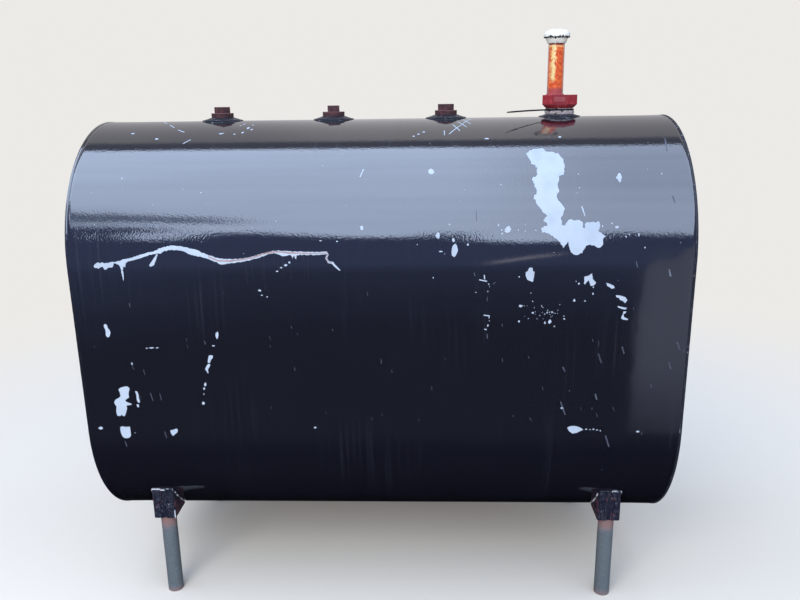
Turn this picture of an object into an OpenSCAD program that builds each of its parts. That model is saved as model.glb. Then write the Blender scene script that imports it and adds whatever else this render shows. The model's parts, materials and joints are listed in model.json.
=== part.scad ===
/* [Tank] */
// Width of the tank over its two flat sides
tank_w = 686; // [500:1:900]
// Height of the tank over its two round edges
tank_h = 1118; // [950:1:1400]
// Length of the tank over the end welds
tank_l = 1524; // [1400:1:2200]
// Thickness of the rolled sheet and of the pressed heads
sheet_t = 2.7; // [2:0.1:6]

/* [Heads and welds] */
// Depth of each head's face inside the rim of the tank
head_recess = 25; // [22:1:60]
// Outside radius of the bend between a head's face and its flange
knuckle_r = 18; // [10:1:22]
// Play between a head's flange and the sheet round it
head_play = 0.2; // [0.1:0.1:1]
// Width of the end weld where it laps the sheet
weld_w = 7; // [4:0.5:12]
// Height of the end weld over the sheet
weld_h = 1.2; // [0.6:0.1:2.5]
// Thickness of the end weld over the two sheet edges
weld_cap = 1.4; // [0.8:0.1:3]
// Width of the lengthwise seam on the rear side
seam_w = 8; // [5:0.5:14]
// Height of the lengthwise seam over the sheet
seam_h = 1.1; // [0.6:0.1:2.2]
// Height of the lengthwise seam above the middle of the tank
seam_up = 60; // [-150:1:150]

/* [Openings] */
// Distance between two neighbouring top openings
spud_pitch = 307; // [200:1:340]
// Offset of the row of top openings from the middle of the tank
spud_shift = 20; // [-60:1:60]
// Bore of each threaded flange
spud_bore = 60.6; // [58:0.1:66]
// Diameter of each threaded flange where it meets the sheet
flange_d = 104; // [90:1:130]
// Diameter of the hub that the flange's cone rises to
hub_d = 67; // [64:0.5:84]
// Height of the hub's mouth over the top of the tank
hub_rise = 8; // [5:0.5:20]
// Depth of the hub inside the tank
hub_drop = 12; // [6:0.5:30]
// Upright edge of the flange over the top of the tank
flange_edge = 1.5; // [1:0.1:4]
// Play between a hub and its hole in the sheet
hole_play = 0.3; // [0.2:0.1:1]
// Distance of the bottom outlet from the right end
outlet_inset = 100; // [70:1:110]

/* [Plugs] */
// Play between a plug's round body and the bore
plug_play = 0.3; // [0.1:0.1:0.5]
// Length of the plug's round body above the hub
plug_rise = 12; // [6:0.5:24]
// Width across the flats of the square head
square_af = 32; // [26:0.5:38]
// Diameter that rounds the corners of the square head
square_d = 43; // [34:0.5:54]
// Height of the square head
square_h = 16.5; // [10:0.5:24]
// Turn of the three top plugs about their axes
plug_turn = [46, 7, 43]; // [0:1:89]
// Turn of the plug in the bottom outlet
outlet_turn = 20; // [0:1:89]

/* [Gauge] */
// Height of the sealing compound between the flange and the gauge
seal_h = 13.6; // [10:0.1:26]
// Diameter of the sealing compound
seal_d = 73; // [70:0.5:80]
// Width across the flats of the octagonal gauge body
octagon_af = 94; // [84:0.5:110]
// Height of the upright part of the gauge body
octagon_h = 25; // [15:0.5:40]
// Height of the chamfered lower part of the gauge body
chamfer_h = 9.5; // [5:0.5:16]
// Diameter of the gauge body at its underside
octagon_foot_d = 74; // [72:0.5:82]
// Width of the bare raised panel on the front of the gauge body
panel_w = 30; // [10:0.5:33]
// Height of the raised panel
panel_h = 13; // [6:0.5:14]
// How far the panel stands out of the front face
panel_proud = 1; // [0.5:0.1:2]
// Offset of the vial from the middle of the gauge body
vial_shift = -14; // [-16:0.5:0]
// Outside diameter of the vial
vial_d = 43; // [36:0.5:48]
// Wall of the vial
vial_t = 2.4; // [1.5:0.1:4]
// Length of the vial that shows
vial_len = 131.5; // [90:0.5:200]
// Height of the ring round the vial's foot
vial_ring_h = 6; // [3:0.5:12]
// Wall of the ring round the vial's foot
vial_ring_t = 4; // [2:0.5:6]
// Diameter of the float indicator inside the vial
disc_d = 36; // [24:0.5:37]
// Height of the float indicator
disc_h = 16; // [6:0.5:30]
// Height of the tapered collar on top of the vial
collar_h = 16; // [10:0.5:26]
// Diameter of the collar at its lower edge
collar_foot_d = 48; // [47:0.5:56]
// Diameter of the collar at its upper edge
collar_top_d = 61; // [54:0.5:64]
// Diameter of the lid
lid_d = 69; // [67:0.5:78]
// Height of the lid's upright edge
lid_edge = 13; // [8:0.5:20]
// Rise of the lid's dome
lid_dome = 10; // [4:0.5:16]

/* [Cable tie] */
// Width of the tie's strap
tie_w = 4; // [2.5:0.1:6]
// Thickness of the tie's strap
tie_t = 1.2; // [0.8:0.1:2]
// Length of the free tail beyond the lock
tie_tail = 146; // [60:1:200]
// Direction of the tail, counted from the length of the tank
tie_turn = 217; // [190:1:260]
// Droop of the tail
tie_droop = 1.4; // [0:0.1:2]

/* [Legs] */
// Length of each pipe leg
leg_len = 275; // [220:1:400]
// Outside diameter of the pipe
leg_d = 42.2; // [33:0.1:49]
// Wall of the pipe
leg_t = 3.6; // [2.5:0.1:5]
// Distance of the legs' middles from the ends of the tank
leg_inset = 152; // [120:1:300]
// Distance between the front legs' and the rear legs' middles
leg_span = 500; // [440:1:510]

/* [Leg brackets] */
// Width of a bracket over its two cheeks
bracket_w = 61; // [58:0.5:74]
// Thickness of the bracket's plate
bracket_t = 4; // [3:0.5:5]
// Outside radius of the bracket's two folds
bracket_r = 6; // [5.5:0.5:9]
// Depth of the groove down the bracket's face
groove_deep = 3; // [1.5:0.5:5]
// Width of the groove down the bracket's face
groove_w = 11; // [6:0.5:16]
// Length of the leg that stands in the bracket
bracket_grip = 33; // [20:1:60]
// Depth of the cheeks, measured along the width of the tank
cheek_run = 82; // [70:1:86]
// Play between a leg and its bracket
leg_play = 0.3; // [0.2:0.1:1]

/* [Hidden] */
$fn = 128;

enamel = "#1d2029";
rust_brown = "#54343a";
gauge_red = "#a83a42";
vial_orange = "#e0702c";
seal_grey = "#9c9490";
cap_white = "#f1f1ee";
pipe_grey = "#8d9095";
tie_black = "#1b1b1d";

// Play where a curved piece lies against the sheet
seat = 0.2;

tank_r = tank_w / 2;
straight_h = tank_h - tank_w;
sheet_end = tank_l / 2 - weld_cap;

// The inner edge of a leg's square top stops just under the round bottom
leg_y = leg_span / 2;
leg_x = tank_l / 2 - leg_inset;
leg_inner_y = leg_y - leg_d / 2;
lower_z = leg_len + leg_play + sqrt(tank_r * tank_r - leg_inner_y * leg_inner_y);
mid_z = lower_z + straight_h / 2;
crown_z = mid_z + tank_h / 2;
keel_z = mid_z - tank_h / 2;

hole_r = hub_d / 2 + hole_play;
plug_r = spud_bore / 2 - plug_play;
// The four top openings stand in one row, from left to right
spud_x = [for (i = [0 : 3]) spud_shift + (i - 1.5) * spud_pitch];
outlet_x = tank_l / 2 - outlet_inset;

seal_z = crown_z + hub_rise;
body_z = seal_z + seal_h;
vial_z = body_z + chamfer_h + octagon_h;
collar_z = vial_z + vial_len;
// The lid laps this far down over the collar
lid_lap = 2;
lid_z = collar_z + collar_h - lid_lap;
gauge_x = spud_x[3];
vial_x = gauge_x + vial_shift;
// Play between the gauge's round pieces that fit into each other
fit_r = 0.3;

bracket_z = leg_len - bracket_grip;
face_y = leg_d / 2 + leg_play + groove_deep + bracket_t;

// Outline of the tank's cross-section at a given radius of its round edges
module obround(r) {
    translate([0, straight_h / 2]) circle(r);
    translate([0, -straight_h / 2]) circle(r);
    square([2 * r, straight_h], center = true);
}

// Solid bar of the tank's cross-section, lying along X
module tank_bar(r, from_x, to_x) {
    translate([from_x, 0, mid_z])
        rotate([90, 0, 90])
            linear_extrude(to_x - from_x)
                obround(r);
}

// Carries a profile of radius and depth once round the tank's cross-section
module around_tank() {
    for (side = [0, 180]) {
        rotate([0, 0, side]) {
            translate([0, straight_h / 2, 0])
                rotate_extrude(angle = 180)
                    children();
            translate([0, straight_h / 2, 0])
                rotate([90, 0, 0])
                    linear_extrude(straight_h)
                        children();
        }
    }
}

// Sets what is built at the origin, facing inwards, on one end of the tank
module at_end(side) {
    mirror([side > 0 ? 1 : 0, 0, 0])
        translate([-sheet_end, 0, mid_z])
            rotate([90, 0, 90])
                children();
}

// Rolled sheet with the holes for the flanges
module shell() {
    color(enamel)
        difference() {
            tank_bar(tank_r, -sheet_end, sheet_end);
            tank_bar(tank_r - sheet_t, -sheet_end - 1, sheet_end + 1);
            for (x = spud_x) {
                translate([x, 0, crown_z - tank_r])
                    cylinder(h = tank_r + 1, r = hole_r);
            }
            translate([outlet_x, 0, keel_z - 1])
                cylinder(h = tank_r, r = hole_r);
        }
}

// Half section of a pressed head: flange, bend and face
module head_profile() {
    rim_r = tank_r - sheet_t - head_play;
    bend_z = head_recess + sheet_t - knuckle_r;
    translate([rim_r - sheet_t, 0]) square([sheet_t, bend_z]);
    translate([0, head_recess]) square([rim_r - knuckle_r, sheet_t]);
    translate([rim_r - knuckle_r, bend_z])
        intersection() {
            difference() {
                circle(knuckle_r);
                circle(knuckle_r - sheet_t);
            }
            square(knuckle_r);
        }
}

module head(side) {
    color(enamel)
        at_end(side)
            around_tank()
                head_profile();
}

// Weld that caps the edges of the sheet and of the flange and laps the sheet
module rim_weld(side) {
    inner_r = tank_r - 2 * sheet_t - head_play;
    outer_r = tank_r + weld_h;
    color(enamel)
        at_end(side)
            around_tank() {
                translate([tank_r + seat, -weld_cap + weld_h]) square([weld_h - seat, weld_w - weld_h]);
                translate([inner_r, -weld_cap]) square([outer_r - weld_h - inner_r, weld_cap]);
                translate([outer_r - weld_h, -weld_cap + weld_h])
                    intersection() {
                        circle(weld_h);
                        translate([0, -weld_h]) square(weld_h);
                    }
            }
}

// Lengthwise butt weld of the rolled sheet, on the rear side
module seam_weld() {
    seam_r = (seam_w * seam_w / 4 + seam_h * seam_h) / (2 * seam_h);
    seam_len = 2 * (tank_l / 2 - weld_w - 1);
    color(enamel)
        translate([-seam_len / 2, tank_r, mid_z + seam_up])
            rotate([90, 0, 90])
                linear_extrude(seam_len)
                    intersection() {
                        translate([seam_h - seam_r, 0]) circle(seam_r);
                        translate([0, -seam_w / 2]) square([seam_h, seam_w]);
                    }
}

// Threaded flange on the crown: a scribed cone with a hub through the sheet
module spud_at(x) {
    color(enamel)
        translate([x, 0, crown_z])
            difference() {
                union() {
                    difference() {
                        union() {
                            translate([0, 0, -hub_drop]) cylinder(h = hub_drop + flange_edge, d = flange_d);
                            translate([0, 0, flange_edge])
                                cylinder(h = hub_rise - flange_edge, d1 = flange_d, d2 = hub_d);
                        }
                        translate([-flange_d, 0, -tank_r])
                            rotate([0, 90, 0])
                                cylinder(h = 2 * flange_d, r = tank_r);
                    }
                    translate([0, 0, -hub_drop]) cylinder(h = hub_drop + hub_rise, d = hub_d);
                }
                translate([0, 0, -hub_drop - 1])
                    cylinder(h = hub_drop + hub_rise + 2, d = spud_bore);
            }
}

// Plug with a square head, screwed into a hub
module plug_at(x, turn) {
    body_h = hub_drop + hub_rise + plug_rise;
    color(rust_brown)
        translate([x, 0, crown_z - hub_drop])
            rotate([0, 0, turn]) {
                cylinder(h = body_h, r = plug_r);
                translate([0, 0, body_h])
                    linear_extrude(square_h)
                        intersection() {
                            square(square_af, center = true);
                            circle(d = square_d);
                        }
            }
}

// Turns what belongs on the crown over to the lowest line of the tank
module at_keel() {
    translate([0, 0, mid_z])
        mirror([0, 0, 1])
            translate([0, 0, -mid_z])
                children();
}

// Octagonal casting with its raised panel, its threaded stem and the ring for the vial
module gauge_body() {
    corner_r = octagon_af / 2 / cos(22.5);
    full_h = chamfer_h + octagon_h;
    // The turned outline that chamfers the octagon passes just outside its corners
    turned_r = corner_r + 1;
    color(gauge_red) {
        translate([gauge_x, 0, body_z])
            intersection() {
                rotate([0, 0, 22.5]) cylinder(h = full_h, r = corner_r, $fn = 8);
                rotate_extrude()
                    polygon([
                        [0, 0],
                        [octagon_foot_d / 2, 0],
                        [turned_r, chamfer_h],
                        [turned_r, full_h + 1],
                        [0, full_h + 1]
                    ]);
            }
        translate([
            gauge_x - panel_w / 2,
            -octagon_af / 2 - panel_proud,
            vial_z - octagon_h / 2 - panel_h / 2
        ])
            cube([panel_w, octagon_af / 4, panel_h]);
        translate([gauge_x, 0, crown_z - hub_drop])
            cylinder(h = hub_drop + hub_rise + seal_h, r = plug_r);
        translate([vial_x, 0, vial_z])
            difference() {
                cylinder(h = vial_ring_h, d = vial_d + 2 * fit_r + 2 * vial_ring_t);
                translate([0, 0, -1]) cylinder(h = vial_ring_h + 2, d = vial_d + 2 * fit_r);
            }
    }
}

// Ring of compound pressed out between the flange and the gauge
module gauge_seal() {
    color(seal_grey)
        translate([gauge_x, 0, seal_z])
            difference() {
                cylinder(h = seal_h, d = seal_d);
                translate([0, 0, -1]) cylinder(h = seal_h + 2, r = plug_r + fit_r);
            }
}

module gauge_vial() {
    color(vial_orange)
        translate([vial_x, 0, vial_z])
            difference() {
                cylinder(h = vial_len + collar_h - vial_t, d = vial_d);
                translate([0, 0, -1]) cylinder(h = vial_len + collar_h, d = vial_d - 2 * vial_t);
            }
}

// Indicator at the bottom of the vial, as on an empty tank
module gauge_disc() {
    color(gauge_red)
        translate([vial_x, 0, vial_z])
            cylinder(h = disc_h, d = disc_d);
}

module gauge_collar() {
    color(cap_white)
        translate([vial_x, 0, collar_z])
            difference() {
                cylinder(h = collar_h, d1 = collar_foot_d, d2 = collar_top_d);
                translate([0, 0, -1]) cylinder(h = collar_h - vial_t + 1, d = vial_d + 2 * fit_r);
            }
}

// Domed lid that laps over the top of the collar
module gauge_lid() {
    dome_r = (lid_d * lid_d / 4 + lid_dome * lid_dome) / (2 * lid_dome);
    full_h = lid_edge + lid_dome;
    color(cap_white)
        translate([vial_x, 0, lid_z])
            difference() {
                intersection() {
                    cylinder(h = full_h, d = lid_d);
                    translate([0, 0, full_h - dome_r]) sphere(r = dome_r);
                }
                translate([0, 0, -1]) cylinder(h = lid_lap + 1, d = collar_top_d + 2 * fit_r);
            }
}

// Strap round the sealing compound with its lock and its free tail
module cable_tie() {
    ring_r = seal_d / 2 + fit_r;
    lock_w = tie_w + 2.4;
    lock_h = tie_w + 1.2;
    strap_z = body_z - tie_w / 2 - 2;
    color(tie_black)
        translate([gauge_x, 0, strap_z]) {
            difference() {
                cylinder(h = tie_w, r = ring_r + tie_t, center = true);
                cylinder(h = tie_w + 1, r = ring_r, center = true);
            }
            rotate([0, 0, tie_turn]) {
                translate([ring_r + tie_t / 2, -lock_w / 2, -lock_h / 2]) cube([5, lock_w, lock_h]);
                translate([ring_r + 4, 0, 0])
                    rotate([0, tie_droop, 0])
                        rotate([90, 0, 0])
                            linear_extrude(tie_t, center = true)
                                polygon([
                                    [0, -0.45 * tie_w],
                                    [0.8 * tie_tail, -0.45 * tie_w],
                                    [tie_tail, -0.15 * tie_w],
                                    [tie_tail, 0.15 * tie_w],
                                    [0.8 * tie_tail, 0.45 * tie_w],
                                    [0, 0.45 * tie_w]
                                ]);
            }
        }
}

// Rectangle in front of the leg with two rounded front corners
module folded_outline(w, front, back, r) {
    translate([-w / 2, -front + r]) square([w, front - r + back]);
    translate([-w / 2 + r, -front]) square([w - 2 * r, r]);
    for (s = [-1, 1]) {
        translate([s * (w / 2 - r), -front + r]) circle(r);
    }
}

// Plan of a bracket: grooved face, two cheeks and the plate behind the leg
module bracket_plan() {
    cheek_back = cheek_run - face_y;
    stop_y = leg_d / 2 + leg_play;
    difference() {
        folded_outline(bracket_w, face_y, cheek_back, bracket_r);
        folded_outline(bracket_w - 2 * bracket_t, face_y - bracket_t, cheek_back + 1, bracket_r - bracket_t);
        polygon([
            [-groove_w / 2, -face_y - 0.01],
            [groove_w / 2, -face_y - 0.01],
            [0, -face_y + groove_deep]
        ]);
    }
    polygon([
        [-groove_w / 2, -face_y + bracket_t - 0.01],
        [groove_w / 2, -face_y + bracket_t - 0.01],
        [0, -face_y + bracket_t + groove_deep]
    ]);
    translate([-bracket_w / 2 + bracket_t / 2, stop_y]) square([bracket_w - bracket_t, bracket_t]);
}

// Folded bracket, scribed to the round bottom of the tank
module bracket(side_x, side_y) {
    color(enamel)
        mirror([side_x > 0 ? 1 : 0, 0, 0])
            mirror([0, side_y > 0 ? 1 : 0, 0])
                difference() {
                    translate([-leg_x, -leg_y, bracket_z])
                        linear_extrude(lower_z - bracket_z)
                            bracket_plan();
                    tank_bar(tank_r + seat, -leg_x - bracket_w, -leg_x + bracket_w);
                }
}

module leg(side_x, side_y) {
    color(pipe_grey)
        translate([side_x * leg_x, side_y * leg_y, 0])
            difference() {
                cylinder(h = leg_len, d = leg_d);
                translate([0, 0, -1]) cylinder(h = leg_len + 2, d = leg_d - 2 * leg_t);
            }
}

shell();
head(-1);  // head_left
head(1);  // head_right
rim_weld(-1);  // rim_weld_left
rim_weld(1);  // rim_weld_right
seam_weld();
spud_at(spud_x[0]);  // spud_1
spud_at(spud_x[1]);  // spud_2
spud_at(spud_x[2]);  // spud_3
spud_at(spud_x[3]);  // spud_4
at_keel() spud_at(outlet_x);  // outlet_spud
plug_at(spud_x[0], plug_turn[0]);  // plug_1
plug_at(spud_x[1], plug_turn[1]);  // plug_2
plug_at(spud_x[2], plug_turn[2]);  // plug_3
at_keel() plug_at(outlet_x, outlet_turn);  // outlet_plug
gauge_body();
gauge_seal();
gauge_vial();
gauge_disc();
gauge_collar();
gauge_lid();
cable_tie();
bracket(-1, -1);  // bracket_front_left
bracket(1, -1);  // bracket_front_right
bracket(-1, 1);  // bracket_rear_left
bracket(1, 1);  // bracket_rear_right
leg(-1, -1);  // leg_front_left
leg(1, -1);  // leg_front_right
leg(-1, 1);  // leg_rear_left
leg(1, 1);  // leg_rear_right
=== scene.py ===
# %% [markdown]
# # A heating oil storage tank
#
# The construction model already holds every piece of this tank at its real size. This
# notebook gives the pieces their looks: rolled sheet that isn't quite true, welds with
# ripples, rusty iron plugs, a stained gauge and black enamel that has come off in places.
# The first step loads the construction model, which is the fixed frame for all that follows.

# %% Load the construction model
import json
import random
from math import atan2, cos, pi, radians, sin, sqrt

import bmesh
import bpy
from mathutils import Matrix, Vector, noise

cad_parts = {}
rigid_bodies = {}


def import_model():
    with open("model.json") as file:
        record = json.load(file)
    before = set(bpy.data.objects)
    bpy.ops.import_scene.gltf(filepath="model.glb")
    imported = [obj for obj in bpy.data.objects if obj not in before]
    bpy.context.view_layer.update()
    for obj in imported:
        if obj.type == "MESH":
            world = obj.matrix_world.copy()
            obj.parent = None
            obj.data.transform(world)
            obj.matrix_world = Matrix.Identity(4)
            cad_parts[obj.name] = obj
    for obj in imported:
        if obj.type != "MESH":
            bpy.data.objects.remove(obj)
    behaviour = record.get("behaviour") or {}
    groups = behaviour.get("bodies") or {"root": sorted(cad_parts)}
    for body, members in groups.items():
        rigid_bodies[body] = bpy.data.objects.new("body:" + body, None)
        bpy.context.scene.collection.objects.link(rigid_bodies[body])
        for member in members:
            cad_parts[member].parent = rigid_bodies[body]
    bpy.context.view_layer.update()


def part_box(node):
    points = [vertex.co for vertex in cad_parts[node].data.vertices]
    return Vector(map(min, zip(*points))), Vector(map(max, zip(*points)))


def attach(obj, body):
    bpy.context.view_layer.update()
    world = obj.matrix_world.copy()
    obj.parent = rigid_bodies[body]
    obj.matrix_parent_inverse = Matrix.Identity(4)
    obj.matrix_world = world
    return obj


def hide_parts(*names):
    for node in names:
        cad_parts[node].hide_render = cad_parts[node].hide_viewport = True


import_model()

scene = bpy.context.scene

# %% [markdown]
# ## Camera
#
# The photograph was taken standing in front of the tank, a little right of its middle, with
# the camera tipped down. The place, the three angles and the focal length were found by
# fitting the outline of a tank of this size to the photograph. The focal length is given in
# pixels of an 800 x 600 picture, so the lens follows from the width of the sensor.

# %% Camera at the photograph's place
IMAGE_WIDTH_PX = 800
FOCAL_LENGTH_PX = 745.9
SENSOR_WIDTH_MM = 36.0
CAMERA_PLACE = Vector((0.1195, -2.0990, 1.3546))
CAMERA_PAN = radians(2.14)
CAMERA_TILT = radians(-15.02)
CAMERA_ROLL = radians(-0.82)

camera_data = bpy.data.cameras.new("camera")
camera_data.sensor_width = SENSOR_WIDTH_MM
camera_data.lens = FOCAL_LENGTH_PX / IMAGE_WIDTH_PX * SENSOR_WIDTH_MM
camera = bpy.data.objects.new("camera", camera_data)
scene.collection.objects.link(camera)
camera.matrix_world = (
    Matrix.Translation(CAMERA_PLACE)
    @ Matrix.Rotation(CAMERA_PAN, 4, "Z")
    @ Matrix.Rotation(pi / 2 + CAMERA_TILT, 4, "X")
    @ Matrix.Rotation(CAMERA_ROLL, 4, "Z")
)
scene.camera = camera
scene.view_settings.view_transform = "Standard"
print("lens:", round(camera_data.lens, 2), "mm")

# %% [markdown]
# ## Measures
#
# Blender works in metres, and small sizes are easier to read in millimetres, so one factor
# turns them round. The main measures are read from the frame. The tank's cross-section is an
# upright oblong with a round top and a round bottom, which makers call an obround: two half
# circles joined by two straight sides. The girth is the way along the sheet from the crown
# line down the front. Marks on the tank are placed by it, as a maker would with a tape.

# %% Measures taken from the frame
MM = 0.001
shell_low, shell_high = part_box("shell")
ROUND = shell_high.y
SHEET_END = shell_high.x
CROWN_Z = shell_high.z
KEEL_Z = shell_low.z
UPPER_Z = CROWN_Z - ROUND
LOWER_Z = KEEL_Z + ROUND
STRAIGHT = UPPER_Z - LOWER_Z
QUARTER = ROUND * pi / 2
TOUCHING = 1e-6


def middle_of(node):
    """The middle of a construction piece's box."""
    low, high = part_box(node)
    return (low + high) / 2


def out_of_tank(point):
    """The direction straight out of the tank's side at a point."""
    centre_z = min(max(point.z, LOWER_Z), UPPER_Z)
    return Vector((0, point.y, point.z - centre_z)).normalized()


def girth_of(point):
    """The way along the sheet from the crown line, down either side, to a point."""
    centre_z = min(max(point.z, LOWER_Z), UPPER_Z)
    return ROUND * atan2(abs(point.y), point.z - centre_z) + UPPER_Z - centre_z


print("round edges:", round(ROUND / MM), "mm, straight sides:", round(STRAIGHT / MM), "mm")

# %% [markdown]
# ## Materials from nodes
#
# Every finish here is built from nodes, so one small function adds a node, sets its options
# and fills its inputs, either with plain values or with links from other nodes. Colours are
# written as the hex values that a picture editor shows. Those are sRGB values, and shading
# is worked out in linear light, so a second function turns one into the other.

# %% A node with its settings and links, and a colour


def add(tree, kind, inputs=None, output=0, **settings):
    """Adds a node, sets its options, fills its inputs and gives back one of its outputs."""
    node = tree.nodes.new("ShaderNode" + kind)
    for name, value in settings.items():
        setattr(node, name, value)
    for key, value in (inputs or {}).items():
        if isinstance(value, bpy.types.NodeSocket):
            tree.links.new(value, node.inputs[key])
        else:
            node.inputs[key].default_value = value
    return node.outputs[output] if node.outputs else None


def paint(code, strength=1.0):
    """Turns an sRGB hex value such as 1d2029 into linear red, green, blue and alpha."""
    parts = [int(code[i : i + 2], 16) / 255 for i in (0, 2, 4)]
    linear = [p / 12.92 if p <= 0.04045 else ((p + 0.055) / 1.055) ** 2.4 for p in parts]
    return (*[strength * p for p in linear], 1.0)


def new_finish(name):
    """An empty node material and its node tree."""
    finish = bpy.data.materials.new(name)
    finish.use_nodes = True
    finish.node_tree.nodes.clear()
    return finish, finish.node_tree


SOFT = {"interpolation_type": "SMOOTHSTEP"}
COLOURS = {"output": 2, "data_type": "RGBA"}
print("mid grey 808080 is", round(paint("808080")[0], 3), "in linear light")

# %% [markdown]
# ## Light
#
# Black gloss paint has hardly any colour of its own: what one sees is what it mirrors. Out
# of doors that is daylight from above and darkness in front, and so a pale band runs along
# the upper round of a tank like this. The studio here does the same with one dome of light,
# painted by direction: a large soft box overhead, pale screens behind and a dim room in
# front. Lamps could do it too, but a painted box can end in exactly the directions that the
# tank mirrors. A direction's x, y and z say how far it points along the tank, back and up.
# Its slope is how far it leans back, or aside, for each metre that it climbs.

# %% An empty dome and its directions
LEAST_CLIMB = 0.02

world = bpy.data.worlds.new("studio_dome")
world.use_nodes = True
scene.world = world
dome = world.node_tree
dome.nodes.clear()

direction = add(dome, "TexCoord")
way_x, way_y, way_z = (add(dome, "SeparateXYZ", {0: direction}, output=axis) for axis in "XYZ")
climb = add(dome, "Math", {0: way_z, 1: LEAST_CLIMB}, operation="MAXIMUM")
lean_back = add(dome, "Math", {0: way_y, 1: climb}, operation="DIVIDE")
aside = add(dome, "Math", {0: way_x, 1: climb}, operation="DIVIDE")
lean_aside = add(dome, "Math", {0: aside}, operation="ABSOLUTE")
print("the dome's nodes so far:", len(dome.nodes))

# %% [markdown]
# ### The soft box and its hem
#
# The tank mirrors the front edge of the box as the foot of the pale band. That foot rises
# and falls along the tank, so the box has a hem that hangs unevenly. The height of the foot
# was read from the photograph at some places, and a ray from the camera that is mirrored
# there says which point of the hem it meets. The hem could be a sum of waves. A float curve
# through the chosen points says the same and is easier to change. At the back and at both
# ends the box just stops at a slope.

# %% The soft box and its hem
SOFT_BOX = paint("cddfff", 2.75)
HEM = [(-0.50, 0.40), (-0.39, 0.36), (-0.365, 0.24), (-0.345, 0.22), (-0.31, 0.283)]
HEM += [(-0.256, 0.339), (-0.168, 0.295), (-0.1, 0.262), (-0.036, 0.258), (0.004, 0.275)]
HEM += [(0.031, 0.335), (0.051, 0.265), (0.075, 0.19), (0.149, 0.155), (0.199, 0.19)]
HEM += [(0.248, 0.297), (0.306, 0.24), (0.34, 0.235), (0.5, 0.235)]
HEM_BLUR = 0.03
REAR_SLOPE = 0.25
REAR_BLUR = 0.02
SIDE_SLOPE = 2.4
SIDE_BLUR = 0.2
FLOOR_BLUR = 0.02

hem_start = HEM[0][0]
along_hem = add(dome, "Math", {0: way_x, 1: -hem_start}, operation="ADD")
hem = add(dome, "FloatCurve", {"Value": along_hem})
hem_curve = hem.node.mapping.curves[0]
hem_curve.points[0].location = (0, HEM[0][1])
hem_curve.points[1].location = (1, HEM[-1][1])
for hem_x, hem_z in HEM[1:-1]:
    hem_curve.points.new(hem_x - hem_start, hem_z)
hem.node.mapping.update()
over_hem = add(dome, "Math", {0: way_z, 1: hem}, operation="SUBTRACT")
over_hem = add(dome, "MapRange", {0: over_hem, 1: -HEM_BLUR, 2: HEM_BLUR}, **SOFT)
at_back = add(dome, "MapRange", {0: way_y, 1: -0.3, 2: 0.0}, **SOFT)
past_front = add(dome, "Math", {0: over_hem, 1: at_back}, operation="MAXIMUM")
rear_edge = {0: lean_back, 1: REAR_SLOPE + REAR_BLUR, 2: REAR_SLOPE - REAR_BLUR}
before_rear = add(dome, "MapRange", rear_edge, **SOFT)
side_edge = {0: lean_aside, 1: SIDE_SLOPE + SIDE_BLUR, 2: SIDE_SLOPE - SIDE_BLUR}
inside_ends = add(dome, "MapRange", side_edge, **SOFT)
in_box = add(dome, "Math", {0: past_front, 1: before_rear}, operation="MULTIPLY")
in_box = add(dome, "Math", {0: in_box, 1: inside_ends}, operation="MULTIPLY")
above_floor = add(dome, "MapRange", {0: way_z, 1: -FLOOR_BLUR, 2: FLOOR_BLUR}, **SOFT)
in_box = add(dome, "Math", {0: in_box, 1: above_floor}, operation="MULTIPLY")
print("the hem hangs at", min(z for x, z in HEM), "to", max(z for x, z in HEM))

# %% [markdown]
# ### Gaps in the soft box
#
# Towards the left, dim stripes cut into the lower part of the pale band. The cloth of the
# box has three gaps there. Each gap is a stripe of directions about a tilted line, soft at
# its edges, which starts at one x and is full at the next.

# %% Gaps by tilt, height, half width, start, full and depth
GAPS = [(-1.85, -2.22, 0.3, -0.21, -0.3, 0.78), (0.0, -2.45, 0.5, -0.31, -0.36, 0.95)]
GAPS += [(0.0, -2.2, 1.3, -0.35, -0.41, 0.5)]

for tilt, height, half_width, start_x, full_x, depth in GAPS:
    gap_middle = add(dome, "Math", {0: way_x, 1: tilt, 2: height}, operation="MULTIPLY_ADD")
    off_middle = add(dome, "Math", {0: lean_back, 1: gap_middle}, operation="SUBTRACT")
    off_middle = add(dome, "Math", {0: off_middle}, operation="ABSOLUTE")
    in_gap = add(dome, "MapRange", {0: off_middle, 1: half_width, 2: 0.3 * half_width}, **SOFT)
    at_left = add(dome, "MapRange", {0: way_x, 1: start_x, 2: full_x, 4: depth}, **SOFT)
    in_gap = add(dome, "Math", {0: in_gap, 1: at_left}, operation="MULTIPLY")
    outside = add(dome, "Math", {0: 1.0, 1: in_gap}, operation="SUBTRACT")
    in_box = add(dome, "Math", {0: in_box, 1: outside}, operation="MULTIPLY")
print("gaps in the soft box:", len(GAPS))

# %% [markdown]
# ### The cloth of the soft box
#
# A real box is never even. This one is a little dimmer to the right and straight overhead,
# and a broad noise, drawn out along the tank, gives it the faint folds of hanging cloth.

# %% How bright the soft box is
RIGHT_SIDE_DIM = 0.8
FOLDS = (1.2, 7.0, 7.0)
FOLD_DIM = 0.93
FOLD_BRIGHT = 1.05
OVERHEAD_LEFT = 1.08
OVERHEAD_RIGHT = 0.9

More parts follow.
